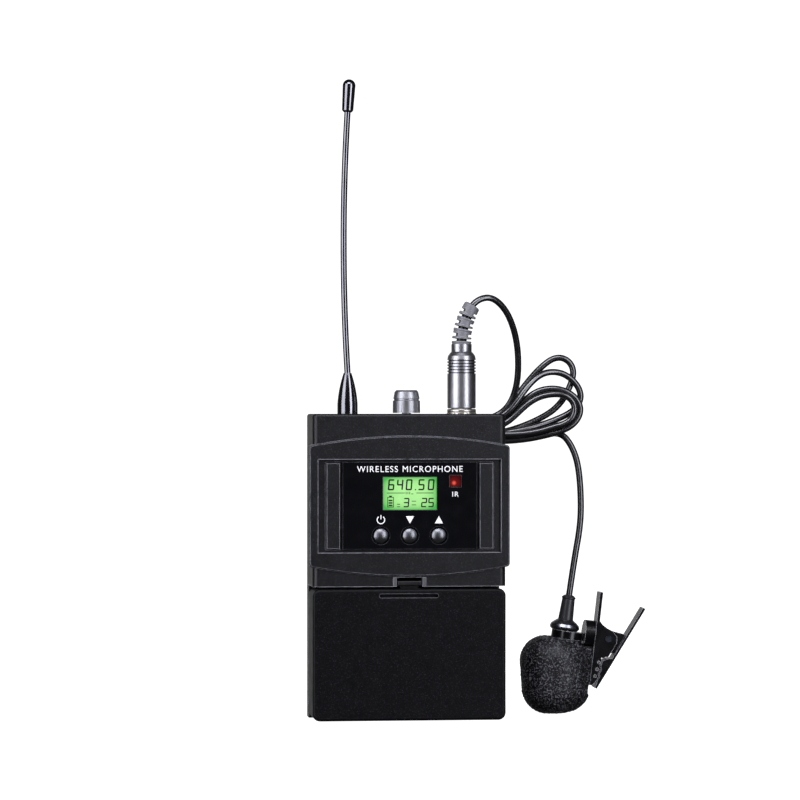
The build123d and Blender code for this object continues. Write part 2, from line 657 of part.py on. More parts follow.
with BuildPart() as clip_screws:
    for x, z in CLIP_HOLES:
        post(x, z, 1.2, (BACK - WALL, BACK + CLIP_SHEET))
        post(x, z, 2.3, (BACK + CLIP_SHEET, BACK + CLIP_SHEET + 1.3))
    heads = clip_screws.faces().filter_by(Axis.Y).group_by(Axis.Y)[-1]
    fillet(heads.edges(), 0.6)
    for x, z in CLIP_HOLES:
        block((x - 1.5, x + 1.5), (BACK + 1.9, BACK + 3), (z - 0.3, z + 0.3), Mode.SUBTRACT)
        block((x - 0.3, x + 0.3), (BACK + 1.9, BACK + 3), (z - 1.5, z + 1.5), Mode.SUBTRACT)
pieces["clip_screws"] = clip_screws

with BuildPart() as case_screws:
    for x, z in CASE_HOLES:
        post(x, z, 1.2, (9.0, BACK - 1.0))
        post(x, z, 2.35, (BACK - 1.0, BACK - 0.1))
        block((x - 1.5, x + 1.5), (BACK - 0.6, BACK), (z - 0.3, z + 0.3), Mode.SUBTRACT)
        block((x - 0.3, x + 0.3), (BACK - 0.6, BACK), (z - 1.5, z + 1.5), Mode.SUBTRACT)
pieces["case_screws"] = case_screws

# --- Microphone head ------------------------------------------------------------------------------------
mic_frame = Plane(origin=mic_middle, x_dir=mic_out, z_dir=(0, -1, 0))

with BuildPart() as mic_body:
    turned(
        mic_frame,
        [(0, CAPSULE[1]), (CAPSULE_RADIUS, CAPSULE[1]), (CAPSULE_RADIUS, -5.0), (NECK, -5.0),
         (NECK, COLLAR_START), (4.3, COLLAR_START), (4.9, 14.7), (5.05, 15.3), (4.7, 16.2), (3.8, 17.0),
         (2.9, 17.6), (2.7, CAP_TOP), (0, CAP_TOP)],
    )
pieces["mic_body"] = mic_body

with BuildPart() as mic_capsule:
    can = CAPSULE_RADIUS - 0.05
    turned(mic_frame, [(0, CAPSULE[0]), (can, CAPSULE[0]), (can, CAPSULE[1]), (0, CAPSULE[1])])
pieces["mic_capsule"] = mic_capsule

with BuildPart() as mic_grille:
    with BuildSketch(Plane(origin=mic_middle + mic_up * GRILLE_FRONT, x_dir=mic_out, z_dir=mic_up)):
        Circle(NECK)
        with PolarLocations(1.5, 6):
            Circle(0.4, mode=Mode.SUBTRACT)
        Circle(0.4, mode=Mode.SUBTRACT)
    extrude(amount=0.4)
pieces["mic_grille"] = mic_grille

with BuildPart() as mic_sleeve:
    turned(
        mic_frame,
        [(0, CAP_TOP), (SLEEVE_RADIUS, CAP_TOP), (2.15, 24.8), (2.35, 25.0), (2.35, 25.4), (1.5, SLEEVE_TOP),
         (0, SLEEVE_TOP)],
    )
pieces["mic_sleeve"] = mic_sleeve

foam_up = (sin(radians(FOAM_LEAN)), 0, cos(radians(FOAM_LEAN)))
foam_out = (cos(radians(FOAM_LEAN)), 0, -sin(radians(FOAM_LEAN)))
foam_frame = Plane(origin=(FOAM_X, MIC_Y, FOAM_Z), x_dir=foam_out, z_dir=(0, -1, 0))
MOUTH = 0.1  # gap between the foam and the ring that sits in its top
DENT = 10.1  # how near the neck's axis the levers press the foam
HUB_DENT = 6.6  # how near the hub presses its shoulder
HUB_FOOT = 9.3


def pressed(start, near, spread):
    """Cut away what is further than near from the neck's axis, above start, spread degrees each way."""
    far = 16.0
    with BuildSketch(Plane(origin=mic_middle + mic_up * start, x_dir=mic_out, z_dir=mic_up)) as region:
        Circle(far)
        Circle(near, mode=Mode.SUBTRACT)
        reach = 3 * far
        corner = (reach * cos(radians(spread)), reach * sin(radians(spread)))
        with BuildLine():
            Polyline((0, 0), corner, (corner[0], -corner[1]), close=True)
        make_face(mode=Mode.INTERSECT)
    extrude(region.sketch, amount=20, mode=Mode.SUBTRACT)


with BuildPart() as windscreen:
    inner = FOAM_RADIUS - FOAM_ROUND
    level = FOAM_HALF - FOAM_ROUND
    slant = FOAM_ROUND * sin(radians(45))
    with BuildSketch(foam_frame):
        with BuildLine():
            Polyline((0, FOAM_HALF), (0, -FOAM_HALF), (inner, -FOAM_HALF))
            ThreePointArc((inner, -FOAM_HALF), (inner + slant, -level - slant), (FOAM_RADIUS, -level))
            Line((FOAM_RADIUS, -level), (FOAM_RADIUS, level))
            ThreePointArc((FOAM_RADIUS, level), (inner + slant, level + slant), (inner, FOAM_HALF))
            Line((inner, FOAM_HALF), (0, FOAM_HALF))
        make_face()
    revolve(axis=Axis(foam_frame.origin, foam_frame.y_dir))
    with BuildSketch(Plane(origin=mic_middle + mic_up * (GRILLE_FRONT - 0.2), x_dir=mic_out, z_dir=mic_up)):
        Circle(NECK + 0.05)
    extrude(amount=25, mode=Mode.SUBTRACT)
    with BuildSketch(Plane(origin=mic_middle + mic_up * (RING[0] - MOUTH), x_dir=mic_out, z_dir=mic_up)):
        Circle(RING_RADIUS + RING_SHIFT + MOUTH)
    extrude(amount=10, mode=Mode.SUBTRACT)
    pressed(-5.8, DENT, SWIVEL + 22)
    pressed(HUB_FOOT, HUB_DENT, SWIVEL + 40)
pieces["windscreen"] = windscreen

# --- Tie clip: a ring on the neck carries the fixed lever, and the other lever turns on a pin -----------
TEETH = [(67.6, 17.6), (67.0, 15.9), (67.2, 14.9), (66.4, 13.4), (66.6, 12.4), (65.7, 10.9)]
SCALLOPS = [(66.6, 17.2), (66.0, 14.9), (65.3, 12.6)]
FIXED_CHEEK = [
    (66.5, 31.8), (67.9, 29.9), (69.6, 28.6), (71.5, 27.6), (72.9, 25.6), (72.7, 23.6), (71.6, 21.7),
    (69.8, 18.9), (65.3, 18.9),
]
MOVING_CHEEK = [(71.4, 27.6), (75.9, 26.4), (72.0, 19.9), (70.0, 20.6), (68.3, 23.0)]
CHEEK = 0.7
PAD = (68.1, 19.3)
CLIP_FRONT = MIC_Y - CLIP_HALF
CLIP_BACK = MIC_Y + CLIP_HALF


def lever(top, end, thickness):
    """Flat plate as wide as the clip, seen edge-on between two points of the front view."""
    with BuildSketch(facing(CLIP_FRONT)) as edge_on:
        with BuildLine():
            Line(top, end)
        trace(line_width=thickness)
    extrude(edge_on.sketch, amount=-2 * CLIP_HALF)


def plate(corners, near, thickness):
    """Flat shape of the front view with its front at depth near."""
    with BuildSketch(facing(near)) as outline:
        with BuildLine():
            Polyline(*corners, close=True)
        make_face()
    extrude(outline.sketch, amount=-thickness)


with BuildPart() as tie_clip_base:
    lever(FIXED_TOP, FIXED_END, FIXED_SHEET)
    plate([(65.3, 19.5), (67.3, 19.5), *TEETH, (64.8, 9.9), (64.0, 9.6)], CLIP_FRONT, 2 * CLIP_HALF)
    for x, z in SCALLOPS:
        post(x, z, 0.5, (CLIP_FRONT, CLIP_BACK), Mode.SUBTRACT)
    post(*PAD, 0.8, (CLIP_FRONT, CLIP_BACK))
    for near in (CLIP_FRONT, CLIP_BACK - CHEEK):
        plate(FIXED_CHEEK, near, CHEEK)
    with BuildSketch(Plane(origin=mic_middle + mic_up * RING[0], x_dir=mic_out, z_dir=mic_up)):
        with Locations((RING_SHIFT, 0)):
            Circle(RING_RADIUS)
        with Locations((7.5, 0)):
            Rectangle(3.0, 4.4)
    extrude(amount=RING[1] - RING[0])
    lever_way = Vector(FIXED_TOP[0] - FIXED_END[0], 0, FIXED_TOP[1] - FIXED_END[1]).normalized()
    hub_way = (lever_way.Z, 0, -lever_way.X)
    hub_middle = Vector(HUB_MIDDLE[0], MIC_Y, HUB_MIDDLE[1])
    with BuildSketch(Plane(origin=hub_middle - Vector(*hub_way) * (HUB_LENGTH / 2), z_dir=hub_way)):
        Circle(HUB_RADIUS)
    extrude(amount=HUB_LENGTH)
    with BuildSketch(Plane(origin=mic_middle + mic_up * RING[0], x_dir=mic_out, z_dir=mic_up)):
        Circle(NECK + RUNNING)
    extrude(amount=6, mode=Mode.SUBTRACT)
    post(*CLIP_PIVOT, PIN_RADIUS, (MIC_Y - 5, MIC_Y + 5), Mode.SUBTRACT)
pieces["tie_clip_base"] = tie_clip_base

JAW_GAP = 0.3

with BuildPart() as tie_clip_jaw:
    lever(MOVING_TOP, MOVING_END, MOVING_SHEET)
    teeth = [(x + JAW_GAP, z) for x, z in TEETH]
    plate([(71.2, 18.5), (69.2, 18.3), *teeth, (65.6, 9.3), (66.0, 9.2)], CLIP_FRONT, 2 * CLIP_HALF)
    for near in (CLIP_FRONT + CHEEK + 0.1, CLIP_BACK - 2 * CHEEK - 0.1):
        plate(MOVING_CHEEK, near, CHEEK)
        with BuildSketch(facing(near)):
            with Locations(CLIP_PIVOT):
                Circle(2.6)
        extrude(amount=-CHEEK)
    post(*CLIP_PIVOT, PIN_RADIUS + RUNNING, (MIC_Y - 5, MIC_Y + 5), Mode.SUBTRACT)
pieces["tie_clip_jaw"] = tie_clip_jaw

PIN_HEAD = 0.3

with BuildPart() as tie_clip_pin:
    post(*CLIP_PIVOT, PIN_RADIUS, (CLIP_FRONT - PIN_HEAD, CLIP_BACK + PIN_HEAD))
    for end in (CLIP_FRONT - PIN_HEAD, CLIP_BACK):
        post(*CLIP_PIVOT, PIN_RADIUS + 0.3, (end, end + PIN_HEAD))
pieces["tie_clip_pin"] = tie_clip_pin

with BuildPart() as tie_clip_spring:
    for turn in range(4):
        with Locations(Location((CLIP_PIVOT[0], MIC_Y - 1.05 + turn * 0.7, CLIP_PIVOT[1]), (90, 0, 0))):
            Torus(1.4, 0.32)
pieces["tie_clip_spring"] = tie_clip_spring

# --- Write every piece ----------------------------------------------------------------------------------
os.makedirs("parts", exist_ok=True)
for name, piece in pieces.items():
    piece.part.label = name
    export_step(piece.part, f"parts/{name}.step")
print(len(pieces), "pieces")
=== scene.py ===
from math import cos, pi, radians, sin

import bmesh
import bpy
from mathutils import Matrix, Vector, noise


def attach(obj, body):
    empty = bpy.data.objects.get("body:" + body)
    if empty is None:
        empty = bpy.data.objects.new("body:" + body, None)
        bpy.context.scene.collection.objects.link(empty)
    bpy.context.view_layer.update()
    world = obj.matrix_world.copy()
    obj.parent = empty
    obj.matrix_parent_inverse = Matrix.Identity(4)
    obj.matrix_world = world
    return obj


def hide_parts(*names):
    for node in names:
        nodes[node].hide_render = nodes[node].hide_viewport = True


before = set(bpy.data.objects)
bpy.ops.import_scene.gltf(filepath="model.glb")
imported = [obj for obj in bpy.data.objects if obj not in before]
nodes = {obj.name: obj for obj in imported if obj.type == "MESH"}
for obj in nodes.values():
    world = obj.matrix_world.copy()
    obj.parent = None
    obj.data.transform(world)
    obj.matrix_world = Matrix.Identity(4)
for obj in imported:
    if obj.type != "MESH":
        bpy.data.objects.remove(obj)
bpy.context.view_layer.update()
scene = bpy.context.scene


# --- Camera -------------------------------------------------------------------------------------------------
lens = bpy.data.cameras.new("view")
lens.sensor_width = 36
lens.lens = 164.1
camera = bpy.data.objects.new("view", lens)
camera.location = (-0.13694, -1.20417, 0.1056)
camera.rotation_euler = (radians(90), 0, radians(-6.4))
scene.collection.objects.link(camera)
scene.camera = camera


# --- Materials ----------------------------------------------------------------------------------------------
def add_node(tree, kind, **values):
    """A node with its settings and unlinked inputs given by name, spaces written as underscores."""
    made = tree.nodes.new(kind)
    for name, value in values.items():
        if hasattr(made, name):
            setattr(made, name, value)
        else:
            made.inputs[name.replace("_", " ")].default_value = value
    return made


def start_material(name, **shader_values):
    material = bpy.data.materials.new(name)
    material.use_nodes = True
    tree = material.node_tree
    shader = tree.nodes["Principled BSDF"]
    for key, value in shader_values.items():
        shader.inputs[key.replace("_", " ")].default_value = value
    place = add_node(tree, "ShaderNodeTexCoord")
    return material, tree, shader, place.outputs["Object"]


def ranged(tree, source, low, high, start=0.0, end=1.0):
    """source taken from low..high to start..end."""
    spread = add_node(tree, "ShaderNodeMapRange")
    for socket, value in zip(("From Min", "From Max", "To Min", "To Max"), (low, high, start, end)):
        spread.inputs[socket].default_value = value
    tree.links.new(source, spread.inputs["Value"])
    return spread.outputs["Result"]


def mixed(tree, factor, first, second):
    """Colour between first and second, each a colour or a socket."""
    mix = add_node(tree, "ShaderNodeMix", data_type="RGBA")
    tree.links.new(factor, mix.inputs["Factor"])
    for socket, value in ((mix.inputs["A"], first), (mix.inputs["B"], second)):
        colour_socket = [i for i in mix.inputs if i.name == socket.name and i.type == "RGBA"][0]
        if isinstance(value, tuple):
            colour_socket.default_value = (*value, 1)
        else:
            tree.links.new(value, colour_socket)
    return [o for o in mix.outputs if o.type == "RGBA"][0]


def grain(tree, place, scale, stretch=(1, 1, 1), detail=3.0):
    """Noise of that scale per metre, stretched along axes."""
    mapping = add_node(tree, "ShaderNodeMapping", Scale=stretch)
    tree.links.new(place, mapping.inputs["Vector"])
    texture = add_node(tree, "ShaderNodeTexNoise", Scale=scale, Detail=detail)
    tree.links.new(mapping.outputs["Vector"], texture.inputs["Vector"])
    return texture.outputs["Fac"]


def bumped(tree, shader, height, strength, distance):
    bump = add_node(tree, "ShaderNodeBump", Strength=strength, Distance=distance)
    tree.links.new(height, bump.inputs["Height"])
    tree.links.new(bump.outputs["Normal"], shader.inputs["Normal"])


def wear_and_highlight_edges(tree, radius):
    """1 on sharp edges and 0 on flat faces."""
    rounded = add_node(tree, "ShaderNodeBevel", samples=6, Radius=radius)
    flat = add_node(tree, "ShaderNodeNewGeometry")
    dot = add_node(tree, "ShaderNodeVectorMath", operation="DOT_PRODUCT")
    tree.links.new(rounded.outputs["Normal"], dot.inputs[0])
    tree.links.new(flat.outputs["Normal"], dot.inputs[1])
    return ranged(tree, dot.outputs["Value"], 0.99, 0.86)


def moulded(name, colour, edge_wear_highlight_colour, roughness,
            grain_scale=3600, depth=0.00006, wear_and_light_radius=0.0004, coat=0.0, specks=0.0):
    """Moulded plastic or rubber: fine grain, cloudy colour, light specks, painted shade in crevices, and
    edges painted lighter, partly as wear and partly as painted highlight.
    """
    material, tree, shader, place = start_material(name, Coat_Weight=coat, Coat_Roughness=0.12)
    clouds = ranged(tree, grain(tree, place, 60), 0.3, 0.7)
    darker = tuple(0.85 * part for part in colour)
    body = mixed(tree, clouds, darker, colour)
    if specks:
        fine = ranged(tree, grain(tree, place, 2600, detail=2.0), 0.56, 0.72, 0.0, specks)
        body = mixed(tree, fine, body, tuple(11 * part for part in colour))
    if wear_and_light_radius:
        # Edges painted lighter in the edge colour: partly wear, partly painted highlight.
        patchy_wear_and_highlight = ranged(tree, grain(tree, place, 420), 0.3, 0.5, 0.35, 1.0)
        edge = add_node(tree, "ShaderNodeMath", operation="MULTIPLY")
        tree.links.new(wear_and_highlight_edges(tree, wear_and_light_radius), edge.inputs[0])
        tree.links.new(patchy_wear_and_highlight, edge.inputs[1])
        body = mixed(tree, edge.outputs[0], body, edge_wear_highlight_colour)
        # Painted shade: the colour goes near black where ambient occlusion finds creases, recesses and gaps
        # between parts.
        crevice_shade = add_node(tree, "ShaderNodeAmbientOcclusion", samples=8, Distance=0.0012)
        body = mixed(tree, ranged(tree, crevice_shade.outputs["AO"], 0.35, 0.8), (0.0008, 0.0008, 0.0009), body)
    tree.links.new(body, shader.inputs["Base Color"])
    patches = grain(tree, place, 240)
    uneven = ranged(tree, patches, 0.3, 0.7, roughness - 0.04, roughness + 0.05)
    tree.links.new(uneven, shader.inputs["Roughness"])
    bumped(tree, shader, grain(tree, place, grain_scale), 0.5, depth)
    return material


def metal(name, colour, roughness, spread=0.05, brushed=(1, 1, 1), scale=900, depth=0.00001):
    """Plated or turned metal with fine tool marks and slight tarnish."""
    material, tree, shader, place = start_material(name, Metallic=1.0)
    marks = grain(tree, place, scale, brushed, 4.0)
    clouds = ranged(tree, grain(tree, place, 150), 0.35, 0.7)
    tarnish = tuple(0.78 * part for part in colour)
    tree.links.new(mixed(tree, clouds, colour, tarnish), shader.inputs["Base Color"])
    uneven = ranged(tree, marks, 0.3, 0.7, roughness - spread, roughness + spread)
    tree.links.new(uneven, shader.inputs["Roughness"])
    bumped(tree, shader, marks, 0.35, depth)
    return material


def round_axis(tree, place, centre, bend=0.0):
    """Distance from an upright axis, or from an arc of radius bend about centre in the plane of its y."""
    moved = add_node(tree, "ShaderNodeVectorMath", operation="SUBTRACT")
    tree.links.new(place, moved.inputs[0])
    moved.inputs[1].default_value = centre
    if not bend:
        flat = add_node(tree, "ShaderNodeVectorMath", operation="MULTIPLY")
        tree.links.new(moved.outputs[0], flat.inputs[0])
        flat.inputs[1].default_value = (1, 1, 0)
        away = add_node(tree, "ShaderNodeVectorMath", operation="LENGTH")
        tree.links.new(flat.outputs[0], away.inputs[0])
        return away.outputs["Value"]
    flat = add_node(tree, "ShaderNodeVectorMath", operation="MULTIPLY")
    tree.links.new(moved.outputs[0], flat.inputs[0])
    flat.inputs[1].default_value = (1, 0, 1)
    reach = add_node(tree, "ShaderNodeVectorMath", operation="LENGTH")
    tree.links.new(flat.outputs[0], reach.inputs[0])
    off = add_node(tree, "ShaderNodeMath", operation="SUBTRACT")
    tree.links.new(reach.outputs["Value"], off.inputs[0])
    off.inputs[1].default_value = bend
    parts = add_node(tree, "ShaderNodeSeparateXYZ")
    tree.links.new(moved.outputs[0], parts.inputs[0])
    both = add_node(tree, "ShaderNodeCombineXYZ")
    tree.links.new(off.outputs[0], both.inputs["X"])
    tree.links.new(parts.outputs["Y"], both.inputs["Y"])
    away = add_node(tree, "ShaderNodeVectorMath", operation="LENGTH")
    tree.links.new(both.outputs[0], away.inputs[0])
    return away.outputs["Value"]


def shade_painted_inside(material, centre, bend, low, high, dark, top=None):
    """Material with everything nearer its axis than low made dark as painted shade in its grooves and slots,
    below a height where one is given.
    """
    tree = material.node_tree
    shader = tree.nodes["Principled BSDF"]
    place = add_node(tree, "ShaderNodeTexCoord").outputs["Object"]
    source = shader.inputs["Base Color"].links[0].from_socket
    depth = ranged(tree, round_axis(tree, place, centre, bend), low, high)
    if top:
        parts = add_node(tree, "ShaderNodeSeparateXYZ")
        tree.links.new(place, parts.inputs[0])
        higher = add_node(tree, "ShaderNodeMath", operation="MAXIMUM")
        tree.links.new(depth, higher.inputs[0])
        tree.links.new(ranged(tree, parts.outputs["Z"], top, top + 0.0001), higher.inputs[1])
        depth = higher.outputs[0]
    tree.links.new(mixed(tree, depth, dark, source), shader.inputs["Base Color"])
    return material


def open_foam(name):
    """Black open-cell foam: painted shade in the pits and painted highlight on the lighter strands."""
    material, tree, shader, place = start_material(name, Roughness=0.6)
    cells = add_node(tree, "ShaderNodeTexVoronoi", Scale=1900, Randomness=1.0)
    tree.links.new(place, cells.inputs["Vector"])
    fine = grain(tree, place, 3400, detail=4.0)
    strands = ranged(tree, cells.outputs["Distance"], 0.60, 0.68)
    height = add_node(tree, "ShaderNodeMath", operation="MULTIPLY")
    tree.links.new(strands, height.inputs[0])
    tree.links.new(ranged(tree, fine, 0.3, 0.7, 0.35, 1.0), height.inputs[1])
    # Painted shade in the pits and painted highlight on the strands, far lighter than the black foam itself
    lit = mixed(tree, height.outputs[0], (0.0008, 0.0008, 0.001), (0.34, 0.34, 0.375))
    tree.links.new(lit, shader.inputs["Base Color"])
    tree.links.new(ranged(tree, fine, 0.3, 0.7, 0.35, 0.6), shader.inputs["Roughness"])
    bumped(tree, shader, height.outputs[0], 1.0, 0.0006)
    return material


def lit_glass(name, corner, size):
    """Back-lit display: pale in the middle and saturated green at its edges."""
    material, tree, shader, place = start_material(name, Roughness=0.12)
    parts = add_node(tree, "ShaderNodeSeparateXYZ")
    tree.links.new(place, parts.inputs[0])
    across = ranged(tree, parts.outputs["X"], corner[0], corner[0] + size[0], -1, 1)
    up = ranged(tree, parts.outputs["Z"], corner[1], corner[1] + size[1], -1, 1)
    powers = []
    for socket, power in ((across, 4.0), (up, 4.0)):
        size_node = add_node(tree, "ShaderNodeMath", operation="ABSOLUTE")
        tree.links.new(socket, size_node.inputs[0])
        raised = add_node(tree, "ShaderNodeMath", operation="POWER")
        tree.links.new(size_node.outputs[0], raised.inputs[0])
        raised.inputs[1].default_value = power
        powers.append(raised.outputs[0])
    total = add_node(tree, "ShaderNodeMath", operation="ADD")
    for index, socket in enumerate(powers):
        tree.links.new(socket, total.inputs[index])
    haze = grain(tree, place, 500)
    edge = ranged(tree, total.outputs[0], 0.0, 1.15)
    tint = mixed(tree, edge, (0.42, 0.83, 0.30), (0.06, 0.40, 0.07))
    mottled = mixed(tree, ranged(tree, haze, 0.3, 0.7, 0.0, 0.15), tint, (0.16, 0.60, 0.14))
    dark = add_node(tree, "ShaderNodeVectorMath", operation="SCALE", Scale=0.25)
    tree.links.new(mottled, dark.inputs[0])
    tree.links.new(dark.outputs[0], shader.inputs["Base Color"])
    tree.links.new(mottled, shader.inputs["Emission Color"])
    shader.inputs["Emission Strength"].default_value = 0.9
    return material


def white_ink(name):
    """Dense white print with a little unevenness in its cover, and a painted glow that makes it brighter than
    the light on it.
    """
    material, tree, shader, place = start_material(name, Roughness=0.5)
    cover = ranged(tree, grain(tree, place, 2600), 0.3, 0.7)
    tree.links.new(mixed(tree, cover, (0.8, 0.8, 0.8), (0.95, 0.95, 0.95)), shader.inputs["Base Color"])
    # Painted glow: the print emits light though it is no lamp
    tree.links.new(mixed(tree, cover, (0.7, 0.7, 0.7), (0.9, 0.9, 0.9)), shader.inputs["Emission Color"])
    shader.inputs["Emission Strength"].default_value = 0.45
    return material


def red_window(name):
    """Dark red window with the lamp behind it glowing through low on the left."""
    material, tree, shader, place = start_material(name, Roughness=0.15, Coat_Weight=0.6, Coat_Roughness=0.08)
    offset = add_node(tree, "ShaderNodeVectorMath", operation="DISTANCE")
    tree.links.new(place, offset.inputs[0])
    offset.inputs[1].default_value = (0.0146, -0.01275, 0.0783)
    glow = ranged(tree, offset.outputs["Value"], 0.0009, 0.0002)
    halo = ranged(tree, offset.outputs["Value"], 0.0024, 0.0003)
    base = mixed(tree, halo, (0.035, 0.003, 0.004), (0.20, 0.008, 0.008))
    haze = ranged(tree, grain(tree, place, 900), 0.35, 0.7, 0.0, 0.3)
    cloudy = mixed(tree, haze, base, (0.06, 0.006, 0.006))
    tree.links.new(cloudy, shader.inputs["Base Color"])
    lamp = mixed(tree, glow, (0.02, 0.0, 0.0), (1.0, 0.12, 0.08))
    tree.links.new(lamp, shader.inputs["Emission Color"])
    shader.inputs["Emission Strength"].default_value = 0.8
    return material


BOOT_CENTRE = (0.0436, 0.002, 0.1242)
BOOT_BEND = 0.0246
PLUG_AXIS = (0.019, 0.002, 0)
# Painted shade for the plug grip's grooves and the strain relief's grooves and windows
GROOVE_SHADE = (0.05, 0.05, 0.055)
SLOT_SHADE = (0.001, 0.001, 0.001)
BRUSHED_ALONG = (1, 1, 0.1)
TURNED = (1, 1, 6)
TURNED_FINELY = (1, 1, 8)

ringed_gunmetal = metal("ringed_gunmetal", (0.5, 0.5, 0.52), 0.36, 0.05, TURNED, 1500)
grey_boot = moulded("grey_boot", (0.24, 0.24, 0.255), (0.95, 0.95, 1.0), 0.36, 2400, wear_and_light_radius=0.0003)

materials = {
    "case": moulded("charcoal_case", (0.0034, 0.0034, 0.0043), (0.6, 0.6, 0.65), 0.42,
                    2400, 0.0001, wear_and_light_radius=0.00032, specks=0.8),
    # The door is a darker copy of the case's plastic: painted shade for light that falls from above
    "door": moulded("shaded_charcoal_door", (0.0026, 0.0026, 0.0033), (0.26, 0.26, 0.28), 0.44,
                    2400, 0.0001, wear_and_light_radius=0.00032, specks=0.8),
    "inside": moulded("plain_inside_plastic", (0.014, 0.014, 0.015), (0.04, 0.04, 0.042), 0.55),
    "panel": moulded("gloss_panel", (0.0034, 0.0036, 0.0048), (0.14, 0.14, 0.15), 0.16,
                     900, 0.000003, wear_and_light_radius=0.0003),
    "keys": metal("grey_keys", (0.22, 0.225, 0.24), 0.36, 0.04, scale=2600, depth=0.000006),
    "latch": moulded("latch_plastic", (0.009, 0.009, 0.01), (0.08, 0.08, 0.085), 0.38),
    "cord": moulded("black_cord", (0.0045, 0.0045, 0.0062), (0.02, 0.02, 0.02), 0.3,
                    1500, 0.000002, wear_and_light_radius=0.0, coat=1.0),
    "tie": moulded("black_tie", (0.008, 0.008, 0.009), (0.03, 0.03, 0.03), 0.5, 2200, 0.00004, wear_and_light_radius=0.0),
    # Painted shade in the strain relief's grooves and windows
    "boot": shade_painted_inside(grey_boot, BOOT_CENTRE, BOOT_BEND, 0.0021, 0.0025, SLOT_SHADE),
    "clip": moulded("clip_plastic", (0.0028, 0.0028, 0.0034), (0.6, 0.6, 0.64), 0.24,
                    1800, 0.000006, wear_and_light_radius=0.0003, coat=0.2),
    "sleeve": moulded("black_sleeve", (0.028, 0.028, 0.031), (0.04, 0.04, 0.042), 0.34,
                      3000, 0.00003, wear_and_light_radius=0.0, specks=0.12),
    "board": moulded("green_board", (0.012, 0.075, 0.03), (0.05, 0.12, 0.06), 0.35, 1500, 0.00002, wear_and_light_radius=0.0),
    "switches": moulded("switch_black", (0.012, 0.012, 0.012), (0.05, 0.05, 0.05), 0.45),
    "insulator": moulded("beige_insulator", (0.42, 0.36, 0.25), (0.6, 0.55, 0.45), 0.4,
                         2400, 0.00002, wear_and_light_radius=0.0),
    "wrap": moulded("cell_wrap", (0.02, 0.022, 0.03), (0.2, 0.2, 0.2), 0.3,
                    1200, 0.00001, wear_and_light_radius=0.0, coat=0.5),
    "led": moulded("led_dome", (0.5, 0.1, 0.1), (0.6, 0.2, 0.2), 0.2, 1200, 0.00001, wear_and_light_radius=0.0, coat=0.5),
    "chrome": metal("polished_steel", (0.2, 0.2, 0.215), 0.13, 0.02, BRUSHED_ALONG, 1500, 0.000002),
    # Painted shade in the grooves of the plug's grip, below its top
    "grip": shade_painted_inside(ringed_gunmetal, PLUG_AXIS, 0, 0.0043, 0.0046, GROOVE_SHADE, top=0.1193),
    "gunmetal": metal("satin_gunmetal", (0.48, 0.48, 0.5), 0.36, 0.05, TURNED, 1500),
    "nickel": metal("bright_nickel", (0.95, 0.91, 0.82), 0.34, 0.05, TURNED_FINELY, 1100),
    "knob": metal("satin_knob", (0.46, 0.46, 0.48), 0.4, scale=2600),
    "posts": moulded("latch_posts", (0.11, 0.11, 0.115), (0.5, 0.5, 0.5), 0.3,
                     2600, 0.00002, wear_and_light_radius=0.0003, coat=0.4),
    "screws": metal("screw_steel", (0.3, 0.3, 0.31), 0.32),
    "tin": metal("tinplate", (0.6, 0.6, 0.6), 0.28, 0.08),
    "gold": metal("gold_plate", (0.8, 0.55, 0.2), 0.2),
    "spring": metal("spring_steel", (0.5, 0.5, 0.52), 0.22),
    "mic_metal": metal("black_mic_metal", (0.36, 0.37, 0.41), 0.27, 0.04, TURNED_FINELY, depth=0.000006),
    "pin": metal("blued_pin", (0.075, 0.085, 0.11), 0.3),
    "capsule": metal("capsule_metal", (0.55, 0.55, 0.55), 0.25),
    "foam": open_foam("black_foam"),
    "lcd_face": lit_glass("lcd_face", (-0.009, 0.0694), (0.0179, 0.0109)),
    "lcd_body": moulded("lcd_body", (0.06, 0.09, 0.03), (0.2, 0.2, 0.1), 0.3,
                        1200, 0.00001, wear_and_light_radius=0.0, coat=0.4),
    "segments": moulded("lcd_segments", (0.003, 0.006, 0.003), (0.02, 0.02, 0.02), 0.5,
                        1200, 0.000005, wear_and_light_radius=0.0),
    "print": white_ink("white_print"),
    "ir_window": red_window("ir_window"),
}

SHEEN = {"door": 0.16, "case": 0.42, "clip": 0.4, "cord": 1.0}
for look, level in SHEEN.items():
    shader = materials[look].node_tree.nodes["Principled BSDF"]
    shader.inputs["Specular IOR Level"].default_value = level

finishes = {
    "case": ["front_shell", "rear_shell"],
    "door": ["battery_door"],
    "inside": ["battery_tray"],
    "posts": ["latch_guides"],
    "panel": ["display_panel"],
    "keys": ["power_button", "down_button", "up_button"],
    "latch": ["door_latch"],
    "clip": ["tie_clip_base", "tie_clip_jaw"],
    "sleeve": ["mic_sleeve"],
    "board": ["main_board"],
    "switches": ["tact_switches"],
    "insulator": ["mic_socket", "plug_insert"],
    "wrap": ["battery_cell_lower", "battery_cell_upper"],
    "led": ["ir_led"],
    "chrome": ["antenna_ferrule", "antenna_rod", "antenna_tip", "door_hinge_pins"],
    "grip": ["plug_grip"],
    "gunmetal": ["plug_barrel"],
    "knob": ["volume_knob"],
    "nickel": ["socket_nut", "battery_contacts"],
    "screws": ["board_screws", "clip_screws", "case_screws"],
    "tin": ["shield_can", "potentiometer"],
    "gold": ["socket_pins"],
    "spring": ["belt_clip"],
    "pin": ["tie_clip_pin"],
    "mic_metal": ["mic_body", "mic_grille"],
    "capsule": ["mic_capsule"],
    "lcd_body": ["lcd_module"],
    "ir_window": ["ir_window"],
}


def finish_with(piece, material):
    """The material in every slot of a piece, or in its only one."""
    if not piece.material_slots:
        piece.data.materials.append(material)
    for slot in piece.material_slots:
        slot.material = material


